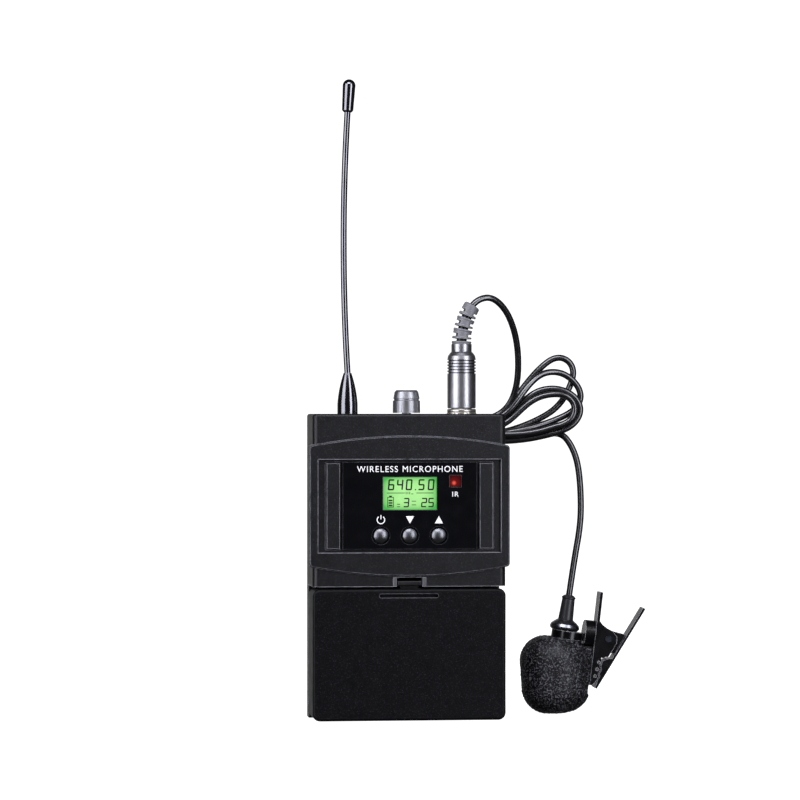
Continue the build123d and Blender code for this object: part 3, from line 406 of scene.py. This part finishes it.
for look, names in finishes.items():
    for name in names:
        finish_with(nodes[name], materials[look])


# --- Building pieces ----------------------------------------------------------------------------------------
def mesh_piece(name, points, faces, material, smooth=True):
    """New piece from points in metres."""
    mesh = bpy.data.meshes.new(name)
    mesh.from_pydata(points, [], faces)
    mesh.validate()
    shape = bmesh.new()
    shape.from_mesh(mesh)
    bmesh.ops.recalc_face_normals(shape, faces=shape.faces)
    shape.to_mesh(mesh)
    shape.free()
    piece = bpy.data.objects.new(name, mesh)
    scene.collection.objects.link(piece)
    for face in mesh.polygons:
        face.use_smooth = smooth
    finish_with(piece, material)
    return piece


def rings_to_faces(rings, around):
    """Quads between closed rings of points, with both ends capped."""
    faces = []
    for ring in range(rings - 1):
        for step in range(around):
            after = (step + 1) % around
            here, above = ring * around, (ring + 1) * around
            faces.append((here + step, here + after, above + after, above + step))
    faces.append(tuple(range(around)))
    faces.append(tuple(range((rings - 1) * around, rings * around)))
    return faces


def smooth_step(value):
    value = min(1.0, max(0.0, value))
    return value * value * (3 - 2 * value)


# --- Cord: over the top from the plug, into a tied coil, and down to the microphone -------------------------
# Each run of the cord, from the plug to the microphone, in metres
CORD_RUNS = {
    "lead": [
        (0.02274, 0.002, 0.13724), (0.0245, 0.0022, 0.1393), (0.0298, 0.0034, 0.1401),
        (0.0354, 0.0066, 0.1349), (0.0391, 0.0104, 0.1252), (0.0399, 0.0136, 0.1134),
        (0.0382, 0.0164, 0.1052), (0.034, 0.01682, 0.10054), (0.0275, 0.01667, 0.09873),
    ],
    "left_1": [
        (0.0254, 0.01684, 0.09841), (0.01946, 0.01701, 0.09841), (0.01072, 0.01711, 0.09899),
        (0.00068, 0.0172, 0.0995), (-0.00891, 0.01733, 0.09861), (-0.01636, 0.01751, 0.09538),
        (-0.0204, 0.0177, 0.0903), (-0.02033, 0.01792, 0.08494), (-0.01617, 0.01817, 0.0813),
        (-0.0086, 0.01851, 0.08069), (0.00107, 0.01873, 0.08304), (0.01114, 0.019, 0.08696),
        (0.01976, 0.01992, 0.09083), (0.02552, 0.02029, 0.09314), (0.0275, 0.02014, 0.09364),
    ],
    "right_1": [
        (0.03299, 0.0199, 0.09425), (0.0379, 0.02022, 0.09531), (0.043, 0.02078, 0.09696),
        (0.0481, 0.0209, 0.0992), (0.0526, 0.0209, 0.10184), (0.0558, 0.0209, 0.10507),
        (0.058, 0.0209, 0.10891), (0.0595, 0.0209, 0.11274), (0.0598, 0.0209, 0.11576),
        (0.0586, 0.0209, 0.11839), (0.0562, 0.0209, 0.11992), (0.0536, 0.0209, 0.11995),
        (0.051, 0.0209, 0.11869), (0.0476, 0.0209, 0.11572), (0.0442, 0.02073, 0.11196),
        (0.041, 0.02032, 0.10781), (0.0376, 0.01981, 0.10346), (0.0334, 0.01933, 0.09991),
        (0.0275, 0.01932, 0.09883),
    ],
    "left_2": [
        (0.0253, 0.01929, 0.09845), (0.01912, 0.01961, 0.09843), (0.01001, 0.02043, 0.09913),
        (-0.00045, 0.0207, 0.09973), (-0.01046, 0.02063, 0.09885), (-0.01829, 0.02058, 0.09573),
        (-0.02259, 0.02053, 0.09072), (-0.02263, 0.0205, 0.08545), (-0.0184, 0.02049, 0.08201),
        (-0.01064, 0.02044, 0.08173), (-0.00071, 0.02034, 0.08449), (0.00968, 0.01981, 0.0888),
        (0.01884, 0.01798, 0.0924), (0.02517, 0.01687, 0.09406), (0.0275, 0.01661, 0.09419),
    ],
    "right_2": [
        (0.03301, 0.01661, 0.09424), (0.03811, 0.01656, 0.09485), (0.04352, 0.01696, 0.09585),
        (0.04863, 0.01779, 0.09725), (0.05344, 0.01839, 0.09894), (0.05765, 0.01844, 0.10084),
        (0.06066, 0.01843, 0.10324), (0.06207, 0.01842, 0.10644), (0.06128, 0.0184, 0.10974),
        (0.0589, 0.01838, 0.11264), (0.05572, 0.01836, 0.11464), (0.05214, 0.01806, 0.11524),
        (0.04856, 0.01712, 0.11454), (0.04539, 0.016, 0.11244), (0.04243, 0.01499, 0.10925),
        (0.03965, 0.01435, 0.10546), (0.03678, 0.0143, 0.10194), (0.03309, 0.0143, 0.09943),
        (0.0275, 0.0143, 0.09878),
    ],
    "left_3": [
        (0.02524, 0.01446, 0.09827), (0.01884, 0.0145, 0.09814), (0.0094, 0.01431, 0.09874),
        (-0.00145, 0.0143, 0.09925), (-0.01181, 0.0143, 0.09817), (-0.01989, 0.0143, 0.0947),
        (-0.02431, 0.0143, 0.08928), (-0.02428, 0.0143, 0.0836), (-0.01981, 0.0143, 0.0798),
        (-0.01165, 0.0143, 0.0793), (-0.00124, 0.0143, 0.08168), (0.00962, 0.0143, 0.0858),
        (0.01902, 0.01539, 0.08954), (0.02534, 0.01609, 0.09158), (0.0275, 0.01627, 0.0918),
    ],
    "right_3": [
        (0.03301, 0.01621, 0.09173), (0.03791, 0.01594, 0.09185), (0.04362, 0.01567, 0.09246),
        (0.04912, 0.01558, 0.09359), (0.05403, 0.01549, 0.09483), (0.05805, 0.01564, 0.09661),
        (0.06065, 0.01577, 0.09933), (0.06154, 0.01588, 0.10256), (0.06044, 0.01598, 0.10558),
        (0.05784, 0.01606, 0.1079), (0.05463, 0.01614, 0.10922), (0.05123, 0.01622, 0.10953),
        (0.04782, 0.01629, 0.10895), (0.04482, 0.01637, 0.10747), (0.04201, 0.01648, 0.10518),
        (0.03921, 0.01669, 0.1023), (0.03641, 0.01693, 0.09932), (0.033, 0.01718, 0.09714),
        (0.0275, 0.01734, 0.09646),
    ],
    "left_4": [
        (0.02559, 0.01733, 0.09618), (0.02022, 0.01774, 0.09621), (0.01231, 0.01877, 0.09708),
        (0.00323, 0.01904, 0.098), (-0.00545, 0.01912, 0.0978), (-0.01227, 0.019, 0.09566),
        (-0.01602, 0.01877, 0.09172), (-0.01606, 0.01855, 0.0873), (-0.01238, 0.01833, 0.08424),
        (-0.00562, 0.01811, 0.0838), (0.00304, 0.01788, 0.08593), (0.01213, 0.01724, 0.08931),
        (0.02008, 0.01528, 0.09233), (0.02553, 0.01431, 0.09386), (0.0275, 0.0143, 0.0941),
    ],
    "right_4": [
        (0.03298, 0.01431, 0.09401), (0.03786, 0.0143, 0.09398), (0.04293, 0.0143, 0.09435),
        (0.04751, 0.0143, 0.09512), (0.05169, 0.0143, 0.09645), (0.05567, 0.0143, 0.09747),
        (0.05838, 0.0143, 0.09935), (0.0594, 0.01431, 0.10241), (0.05841, 0.01431, 0.10548),
        (0.05572, 0.01432, 0.10735), (0.05254, 0.01434, 0.10764), (0.04955, 0.01436, 0.10732),
        (0.04656, 0.01438, 0.10642), (0.04377, 0.0144, 0.10481), (0.04117, 0.01444, 0.10261),
        (0.03878, 0.01449, 0.10031), (0.03619, 0.01456, 0.09811), (0.03299, 0.01463, 0.09661),
        (0.0275, 0.01468, 0.09641),
    ],
    "left_5": [
        (0.02551, 0.01502, 0.09599), (0.01986, 0.01546, 0.09598), (0.01152, 0.01585, 0.09676),
        (0.00195, 0.01588, 0.09756), (-0.00722, 0.01583, 0.09715), (-0.01442, 0.01585, 0.09469),
        (-0.01838, 0.01594, 0.09028), (-0.01841, 0.01603, 0.0854), (-0.01451, 0.01614, 0.08197),
        (-0.00735, 0.01628, 0.08131), (0.00183, 0.01647, 0.08331), (0.01146, 0.0167, 0.08666),
        (0.01988, 0.01787, 0.08969), (0.02555, 0.01868, 0.09131), (0.0275, 0.01901, 0.09155),
    ],
    "drop": [
        (0.03791, 0.019, 0.09275), (0.04401, 0.0188, 0.09316), (0.05041, 0.0183, 0.09427),
        (0.0552, 0.0174, 0.0943), (0.0582, 0.0164, 0.0906), (0.0604, 0.0154, 0.0846),
        (0.0613, 0.0147, 0.075), (0.0612, 0.014, 0.064), (0.05863, 0.0126, 0.05116),
        (0.05697, 0.0126, 0.03978),
    ],
}

route = [place for run in CORD_RUNS.values() for place in run]
route.reverse()  # from the microphone to the plug
CORD_RADIUS = 0.0011
cord_curve = bpy.data.curves.new("microphone_cord", "CURVE")
cord_curve.dimensions = "3D"
cord_curve.bevel_depth = CORD_RADIUS
cord_curve.bevel_resolution = 7
cord_curve.resolution_u = 14
cord_curve.use_fill_caps = True
spline = cord_curve.splines.new("NURBS")
spline.points.add(len(route) - 1)
for point, place in zip(spline.points, route):
    point.co = (*place, 1)
spline.order_u = 3
spline.use_endpoint_u = True
cord = bpy.data.objects.new("microphone_cord", cord_curve)
scene.collection.objects.link(cord)
finish_with(cord, materials["cord"])
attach(cord, "transmitter")
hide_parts("cord_upper", "cord_coil", "cord_lower")

# Strain relief: slotted rubber sleeve bent with the cord
BOOT_LENGTH = 0.01374
BOOT_RADII = (0.0032, 0.00275)
BOOT_SLOT = 0.0017  # radius at the bottom of grooves and windows
GROOVES = (0.0014, 0.0054, 0.0092)
WINDOWS = (0.0030, 0.0070, 0.0109)


def near(value, middle, half, soft):
    """1 within half of middle, falling to 0 over soft."""
    return 1 - smooth_step((abs(value - middle) - half) / soft)


def boot_radius(along, angle):
    """Outer radius at a length along the boot and an angle about it, 0 towards the inside of the bend."""
    radius = BOOT_RADII[0] + (BOOT_RADII[1] - BOOT_RADII[0]) * along / BOOT_LENGTH
    slot = max(near(along, middle, 0.00030, 0.00012) for middle in GROOVES)
    rim = max(near(abs(along - middle), 0.00065, 0.0002, 0.0003) for middle in GROOVES)
    side = 1 - smooth_step((abs(sin(angle)) - 0.72) / 0.1)
    slot = max(slot, side * max(near(along, middle, 0.00036, 0.00014) for middle in WINDOWS))
    blunt = max(0.0, along - BOOT_LENGTH + 0.0007) / 0.0007
    radius -= 0.0007 * (1 - (1 - blunt ** 2) ** 0.5)
    return radius + 0.00012 * rim - slot * (radius - BOOT_SLOT)


boot_rings, boot_around = 260, 120
boot_points = []
for ring in range(boot_rings):
    along = BOOT_LENGTH * ring / (boot_rings - 1)
    turn = along / BOOT_BEND
    inward = Vector((cos(turn), 0, -sin(turn)))
    middle = Vector(BOOT_CENTRE) - inward * BOOT_BEND
    for step in range(boot_around):
        angle = 2 * pi * step / boot_around
        reach = boot_radius(along, angle)
        boot_points.append(middle + (inward * cos(angle) + Vector((0, 1, 0)) * sin(angle)) * reach)
boot = mesh_piece("boot_sleeve", boot_points, rings_to_faces(boot_rings, boot_around), materials["boot"])
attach(boot, "transmitter")
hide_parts("plug_boot")

# Strap round the bundle: (y, z) along its middle, wound once and a little more, with a free tail.
STRAP_HALF = 0.00195
STRAP_SHEET = 0.0007
STRAP_LOOP = [
    (0.0133, 0.0985), (0.0128, 0.0953), (0.0130, 0.0922), (0.0146, 0.0904), (0.0168, 0.0901),
    (0.0190, 0.0905), (0.0205, 0.0923), (0.0207, 0.0953), (0.0204, 0.0983), (0.0188, 0.1001),
    (0.0167, 0.1004), (0.0144, 0.1001), (0.0127, 0.0986), (0.0120, 0.0960), (0.0119, 0.0930),
    (0.0126, 0.0903), (0.0141, 0.0880), (0.0150, 0.0858),
]
STRAP_X = 0.0275


def strap_points():
    rings = []
    for step, (y, z) in enumerate(STRAP_LOOP):
        before = STRAP_LOOP[max(step - 1, 0)]
        after = STRAP_LOOP[min(step + 1, len(STRAP_LOOP) - 1)]
        run = Vector((0, after[0] - before[0], after[1] - before[1])).normalized()
        out = Vector((0, -run.z, run.y)) * STRAP_SHEET / 2
        skew = 0.0004 * sin(step * 0.9)
        for across, side in ((-1, -1), (1, -1), (1, 1), (-1, 1)):
            rings.append(Vector((STRAP_X + skew + across * STRAP_HALF, y, z)) + side * out)
    return rings


tie = mesh_piece("cord_strap", strap_points(), rings_to_faces(len(STRAP_LOOP), 4), materials["tie"])
rounding = tie.modifiers.new("rounding", "BEVEL")
rounding.width = 0.00018
rounding.segments = 2
rounding.limit_method = "ANGLE"
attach(tie, "transmitter")
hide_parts("cord_tie")


# --- Foam windscreen: the CAD foam remeshed, softened and roughened into open cells -------------------------
LEVER_TOP = (0.0676, 0.0126, 0.0408)
LEVER_END = (0.06395, 0.0126, 0.0095)
LEVER_HALF = 0.00055
LEVER_REACH = 0.0048  # how far the dent reaches to each side of the lever's middle
FOAM_CELL = 0.0003
FOAM_SOFTNESS = 26
FOAM_GAP = 0.00015  # left between the foam and the lever
DENT_DEPTH = 0.003
DENT_LEVELS = (0.0035, 0.0252)
HUB_LEVELS = (0.0205, 0.0262)
HUB_LIFT = 0.0009  # closes the gap below the clip's hub
CELL_SCALES = (1300, 2900)
CELL_HEIGHT = 0.00022
CELL_SINK = 0.00008  # keeps the cells' tops near the CAD surface


def foam_piece(source):
    """Foam that rests against the clip's lever, with its open cells raised from the surface."""
    shaping = bpy.data.objects.new("shaping", source.data.copy())
    shaping.matrix_world = source.matrix_world
    scene.collection.objects.link(shaping)
    remesh = shaping.modifiers.new("cells", "REMESH")
    remesh.mode = "VOXEL"
    remesh.voxel_size = FOAM_CELL
    soften = shaping.modifiers.new("soften", "SMOOTH")
    soften.factor = 0.5
    soften.iterations = FOAM_SOFTNESS
    seen_now = bpy.context.evaluated_depsgraph_get()
    mesh = bpy.data.meshes.new_from_object(shaping.evaluated_get(seen_now))
    mesh.transform(source.matrix_world)
    bpy.data.objects.remove(shaping)
    mesh.name = "foam_windscreen"
    lever_way = (Vector(LEVER_TOP) - Vector(LEVER_END)).normalized()
    lever_out = Vector((lever_way.z, 0, -lever_way.x))
    for vertex in mesh.vertices:
        gap = (Vector(LEVER_END) - vertex.co).dot(lever_out) - LEVER_HALF
        height = vertex.co.z
        beside = smooth_step((LEVER_REACH - abs(vertex.co.y - LEVER_END[1])) / 0.0018)
        above_foot = smooth_step((height - DENT_LEVELS[0]) / 0.002)
        level = above_foot * smooth_step((DENT_LEVELS[1] - height) / 0.002)
        above_waist = smooth_step((height - HUB_LEVELS[0]) / 0.002)
        under = above_waist * smooth_step((HUB_LEVELS[1] - height) / 0.001)
        if -0.001 < gap < 0.0045:
            vertex.co.z += HUB_LIFT * under * beside
        if FOAM_GAP < gap < DENT_DEPTH:
            vertex.co += lever_out * (gap - FOAM_GAP) * beside * level
    mesh.update()
    normals = [vertex.normal.copy() for vertex in mesh.vertices]
    for vertex, normal in zip(mesh.vertices, normals):
        coarse, fine = (noise.noise(vertex.co * scale) for scale in CELL_SCALES)
        vertex.co += normal * (CELL_HEIGHT * (coarse + 0.6 * fine) - CELL_SINK)
    for face in mesh.polygons:
        face.use_smooth = True
    piece = bpy.data.objects.new("foam_windscreen", mesh)
    scene.collection.objects.link(piece)
    finish_with(piece, materials["foam"])
    return piece


foam = foam_piece(nodes["windscreen"])
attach(foam, "transmitter")
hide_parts("windscreen")


# --- Coil springs -------------------------------------------------------------------------------------------
def wire(name, points, radius, body, replaced):
    """Round spring wire along points."""
    curve = bpy.data.curves.new(name, "CURVE")
    curve.dimensions = "3D"
    curve.bevel_depth = radius
    curve.bevel_resolution = 3
    curve.resolution_u = 4
    curve.use_fill_caps = True
    run = curve.splines.new("NURBS")
    run.points.add(len(points) - 1)
    for point, place in zip(run.points, points):
        point.co = (*place, 1)
    run.order_u = 3
    run.use_endpoint_u = True
    piece = bpy.data.objects.new(name, curve)
    scene.collection.objects.link(piece)
    finish_with(piece, materials["spring"])
    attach(piece, body)
    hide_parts(replaced)


SPRING_TURNS = 4
TURN_POINTS = 14
SPRING_STEPS = SPRING_TURNS * TURN_POINTS
CELL_AXIS_Y = 0.0019
WIDE_END, NARROW_END = 0.0043, 0.0024
SPRING_WALL, SPRING_TIP = 0.0277, 0.0234
SEAT_FACES = (0.0281, 0.0284)
SEAT_CORNERS = ((-0.0025, -0.0045), (0.0065, -0.0045), (0.0065, 0.0045), (-0.0025, 0.0045))
for side, height, level in ((1, 0.0138, "lower"), (-1, 0.0346, "upper")):
    spring_points = []
    for step in range(SPRING_STEPS + 1):
        share = step / SPRING_STEPS
        angle = 2 * pi * step / TURN_POINTS
        reach = WIDE_END + (NARROW_END - WIDE_END) * share
        out = SPRING_WALL + (SPRING_TIP - SPRING_WALL) * share
        spring_points.append((side * out, CELL_AXIS_Y + reach * cos(angle), height + reach * sin(angle)))
    wire("cell_spring_" + level, spring_points, 0.0004, "transmitter", "battery_springs")
    corners = [(side * x, y, height + z) for x in SEAT_FACES for y, z in SEAT_CORNERS]
    seat = mesh_piece("spring_seat_" + level, corners, rings_to_faces(2, 4),
                      materials["spring"], smooth=False)
    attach(seat, "transmitter")

PIVOT = (0.0699, 0.0126, 0.02505)
CLIP_SPRING_RADIUS = 0.0014
CLIP_SPRING_LENGTH = 0.0027
clip_points = []
for step in range(SPRING_STEPS + 1):
    angle = pi + 2 * pi * step / TURN_POINTS
    along = CLIP_SPRING_LENGTH * (step / SPRING_STEPS - 0.5)
    clip_points.append((PIVOT[0] + CLIP_SPRING_RADIUS * cos(angle), PIVOT[1] + along,
                        PIVOT[2] + CLIP_SPRING_RADIUS * sin(angle)))
wire("clip_spring", clip_points, 0.0003, "tie_clip", "tie_clip_spring")


# --- Display: lit face, segments, and printed labels --------------------------------------------------------
LCD_LEFT, LCD_BOTTOM = -0.00895, 0.0694
GLASS_Y = -0.01243
PRINT_Y = -0.01262


def flat_piece(name, outlines, depth, material):
    """Thin shapes facing the front, each a list of (x, z)."""
    points, faces = [], []
    for outline in outlines:
        faces.append(tuple(range(len(points), len(points) + len(outline))))
        points += [(x, depth, z) for x, z in outline]
    piece = mesh_piece(name, points, faces, material, smooth=False)
    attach(piece, "transmitter")
    return piece


def box_outline(x, z, wide, high):
    return [(x, z), (x + wide, z), (x + wide, z + high), (x, z + high)]


# Each segment's side (-1 left, 1 right, 0 across) and its level, from 0 at the foot to 2 at the top
SEGMENTS = {
    "a": (0, 2), "b": (1, 1.5), "c": (1, 0.5), "d": (0, 0), "e": (-1, 0.5), "f": (-1, 1.5), "g": (0, 1),
}
DIGITS = {"0": "abcdef", "2": "abged", "3": "abgcd", "4": "fgbc", "5": "afgcd", "6": "afgedc"}
SEGMENT_GAP = 0.00008
SLANT = 0.08


def digit_outlines(digit, left, bottom, wide, high, stroke):
    """Lit segments of one seven-segment digit, slanted a little, in metres."""
    outlines = []
    middle = left + wide / 2
    for segment in DIGITS[digit]:
        side, level = SEGMENTS[segment]
        z = bottom + stroke / 2 + level / 2 * (high - stroke)
        if side:
            x = middle + side * (wide - stroke) / 2
            reach = (high - stroke) / 4 - SEGMENT_GAP
            corners = [(x, z - reach - stroke / 2), (x + stroke / 2, z - reach), (x + stroke / 2, z + reach),
                       (x, z + reach + stroke / 2), (x - stroke / 2, z + reach), (x - stroke / 2, z - reach)]
        else:
            reach = (wide - stroke) / 2 - SEGMENT_GAP
            corners = [(middle - reach - stroke / 2, z), (middle - reach, z - stroke / 2),
                       (middle + reach, z - stroke / 2), (middle + reach + stroke / 2, z),
                       (middle + reach, z + stroke / 2), (middle - reach, z + stroke / 2)]
        outlines.append([(x + SLANT * (z - bottom), z) for x, z in corners])
    return outlines


shown = []
for digit, left in zip("64050", (0.0016, 0.0045, 0.0075, 0.0116, 0.0148)):
    shown += digit_outlines(digit, LCD_LEFT + left, LCD_BOTTOM + 0.0065, 0.0021, 0.00365, 0.00050)
for digit, left in zip("325", (0.0067, 0.0126, 0.0149)):
    shown += digit_outlines(digit, LCD_LEFT + left, LCD_BOTTOM + 0.0009, 0.0019, 0.0031, 0.00042)
# The display's small captions, rules and battery symbol, each as (x, z, width, height)
MARKS = [
    (0.0106, 0.0065, 0.0004, 0.0004), (0.0013, 0.0055, 0.0060, 0.00022), (0.0111, 0.0055, 0.0057, 0.00022),
    (0.0015, 0.0009, 0.0021, 0.00022), (0.0015, 0.0009, 0.00022, 0.0034), (0.0034, 0.0009, 0.00022, 0.0034),
    (0.0015, 0.0041, 0.0021, 0.00022), (0.0021, 0.0043, 0.0009, 0.00045), (0.0019, 0.0013, 0.0013, 0.0005),
    (0.0019, 0.0021, 0.0013, 0.0005), (0.0019, 0.0029, 0.0013, 0.0005),
    (0.0076, 0.0052, 0.00022, 0.0008), (0.0082, 0.0052, 0.00022, 0.0008), (0.0088, 0.0052, 0.00022, 0.0008),
    (0.0094, 0.0052, 0.0007, 0.00022), (0.0047, 0.0010, 0.0010, 0.00022), (0.0047, 0.0018, 0.0010, 0.00022),
    (0.0096, 0.0016, 0.0014, 0.00022), (0.0096, 0.0028, 0.0014, 0.00022),
]
shown += [box_outline(LCD_LEFT + x, LCD_BOTTOM + z, wide, high) for x, z, wide, high in MARKS]
flat_piece("lcd_segments", shown, GLASS_Y - 0.00003, materials["segments"])
face_outline = box_outline(LCD_LEFT + 0.0001, LCD_BOTTOM + 0.0001, 0.0177, 0.0107)
flat_piece("lcd_face", [face_outline], GLASS_Y, materials["lcd_face"])


def label(name, text, x, z, height, wide):
    """Printed capitals, centred at x with their feet at z, as wide as given."""
    letters = bpy.data.curves.new(name, "FONT")
    letters.body = text
    letters.align_x = "CENTER"
    letters.space_character = 1.2
    writing = bpy.data.objects.new("writing", letters)
    scene.collection.objects.link(writing)
    seen_now = bpy.context.evaluated_depsgraph_get()
    mesh = bpy.data.meshes.new_from_object(writing.evaluated_get(seen_now))
    bpy.data.objects.remove(writing)
    xs = [vertex.co.x for vertex in mesh.vertices]
    ys = [vertex.co.y for vertex in mesh.vertices]
    left, right, foot, top = min(xs), max(xs), min(ys), max(ys)
    for vertex in mesh.vertices:
        across = (vertex.co.x - left) / (right - left) - 0.5
        up = (vertex.co.y - foot) / (top - foot)
        vertex.co = Vector((x + across * wide, PRINT_Y, z + up * height))
    mesh.update()
    printed = bpy.data.objects.new(name, mesh)
    scene.collection.objects.link(printed)
    finish_with(printed, materials["print"])
    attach(printed, "transmitter")


label("panel_title", "WIRELESS MICROPHONE", 0, 0.0819, 0.0020, 0.0350)
label("ir_label", "IR", 0.0151, 0.0738, 0.0016, 0.0021)


def arc_outline(x, z, radius, width, start, end, steps=24):
    """Ribbon along an arc, with angles in degrees anticlockwise from the right."""
    turns = [radians(start + (end - start) * step / steps) for step in range(steps + 1)]
    outer = [(x + (radius + width / 2) * cos(t), z + (radius + width / 2) * sin(t)) for t in turns]
    inner = [(x + (radius - width / 2) * cos(t), z + (radius - width / 2) * sin(t)) for t in reversed(turns)]
    return [[outer[i], outer[i + 1], inner[steps - 1 - i], inner[steps - i]] for i in range(steps)]


ICON_Z = 0.0662
KEY_PITCH = 0.0096
ARROW_HALF, ARROW_RISE = 0.00135, 0.0012
ICON_STROKE = 0.0003
icons = arc_outline(-KEY_PITCH, ICON_Z, 0.00125, ICON_STROKE, 125, 415)
icons.append(box_outline(-KEY_PITCH - ICON_STROKE / 2, ICON_Z + 0.0002, ICON_STROKE, 0.0014))
icons.append([(-ARROW_HALF, ICON_Z + ARROW_RISE), (ARROW_HALF, ICON_Z + ARROW_RISE),
              (0, ICON_Z - ARROW_RISE)])
icons.append([(KEY_PITCH - ARROW_HALF, ICON_Z - ARROW_RISE), (KEY_PITCH + ARROW_HALF, ICON_Z - ARROW_RISE),
              (KEY_PITCH, ICON_Z + ARROW_RISE)])
flat_piece("key_icons", icons, PRINT_Y, materials["print"])


# --- Floor and light ----------------------------------------------------------------------------------------
STUDIO_WHITE = (0.9, 0.91, 1.0)
OBJECT_MIDDLE = (0, 0, 0.1)


def softbox(name, place, size, power):
    """Rectangular light turned towards the object."""
    lamp = bpy.data.lights.new(name, "AREA")
    lamp.shape = "RECTANGLE"
    lamp.size, lamp.size_y = size
    lamp.color = STUDIO_WHITE
    lamp.energy = power
    light = bpy.data.objects.new(name, lamp)
    light.location = place
    light.rotation_euler = (Vector(OBJECT_MIDDLE) - Vector(place)).to_track_quat("-Z", "Y").to_euler()
    scene.collection.objects.link(light)


softbox("left_softbox", (-0.85, -0.55, 0.25), (0.75, 1.1), 9.5)
softbox("right_softbox", (0.56, -0.80, 0.3), (0.38, 1.0), 6)
softbox("top_softbox", (-0.15, -0.75, 1.0), (0.9, 0.4), 9)

FLOOR_HALF = 6.0
floor_corners = [(x * FLOOR_HALF, y * FLOOR_HALF, 0) for x, y in ((-1, -1), (1, -1), (1, 1), (-1, 1))]
pale_floor = start_material("pale_floor", Base_Color=(0.9, 0.9, 0.9, 1), Roughness=0.9,
                            Emission_Color=(1, 1, 1, 1), Emission_Strength=1.1)[0]
floor = mesh_piece("floor", floor_corners, [(0, 1, 2, 3)], pale_floor)
floor.location.z = -0.0004
floor.visible_diffuse = False
floor.visible_glossy = False

world = bpy.data.worlds.new("studio")
world.use_nodes = True
scene.world = world
sky = world.node_tree
background = sky.nodes["Background"]
background.inputs["Color"].default_value = (1, 1, 1, 1)
# A white backdrop behind the object shows in grazing reflections, and the rest of the room is dark
way = sky.nodes.new("ShaderNodeTexCoord")
parts = sky.nodes.new("ShaderNodeSeparateXYZ")
sky.links.new(way.outputs["Generated"], parts.inputs[0])
backdrop = ranged(sky, parts.outputs["Y"], 0.72, 0.92, 0.03, 0.4)
seen = sky.nodes.new("ShaderNodeLightPath")
strength = sky.nodes.new("ShaderNodeMix")
sky.links.new(seen.outputs["Is Camera Ray"], strength.inputs["Factor"])
sky.links.new(backdrop, strength.inputs["A"])
strength.inputs["B"].default_value = 1.2
sky.links.new(strength.outputs["Result"], background.inputs["Strength"])
scene.view_settings.view_transform = "Standard"
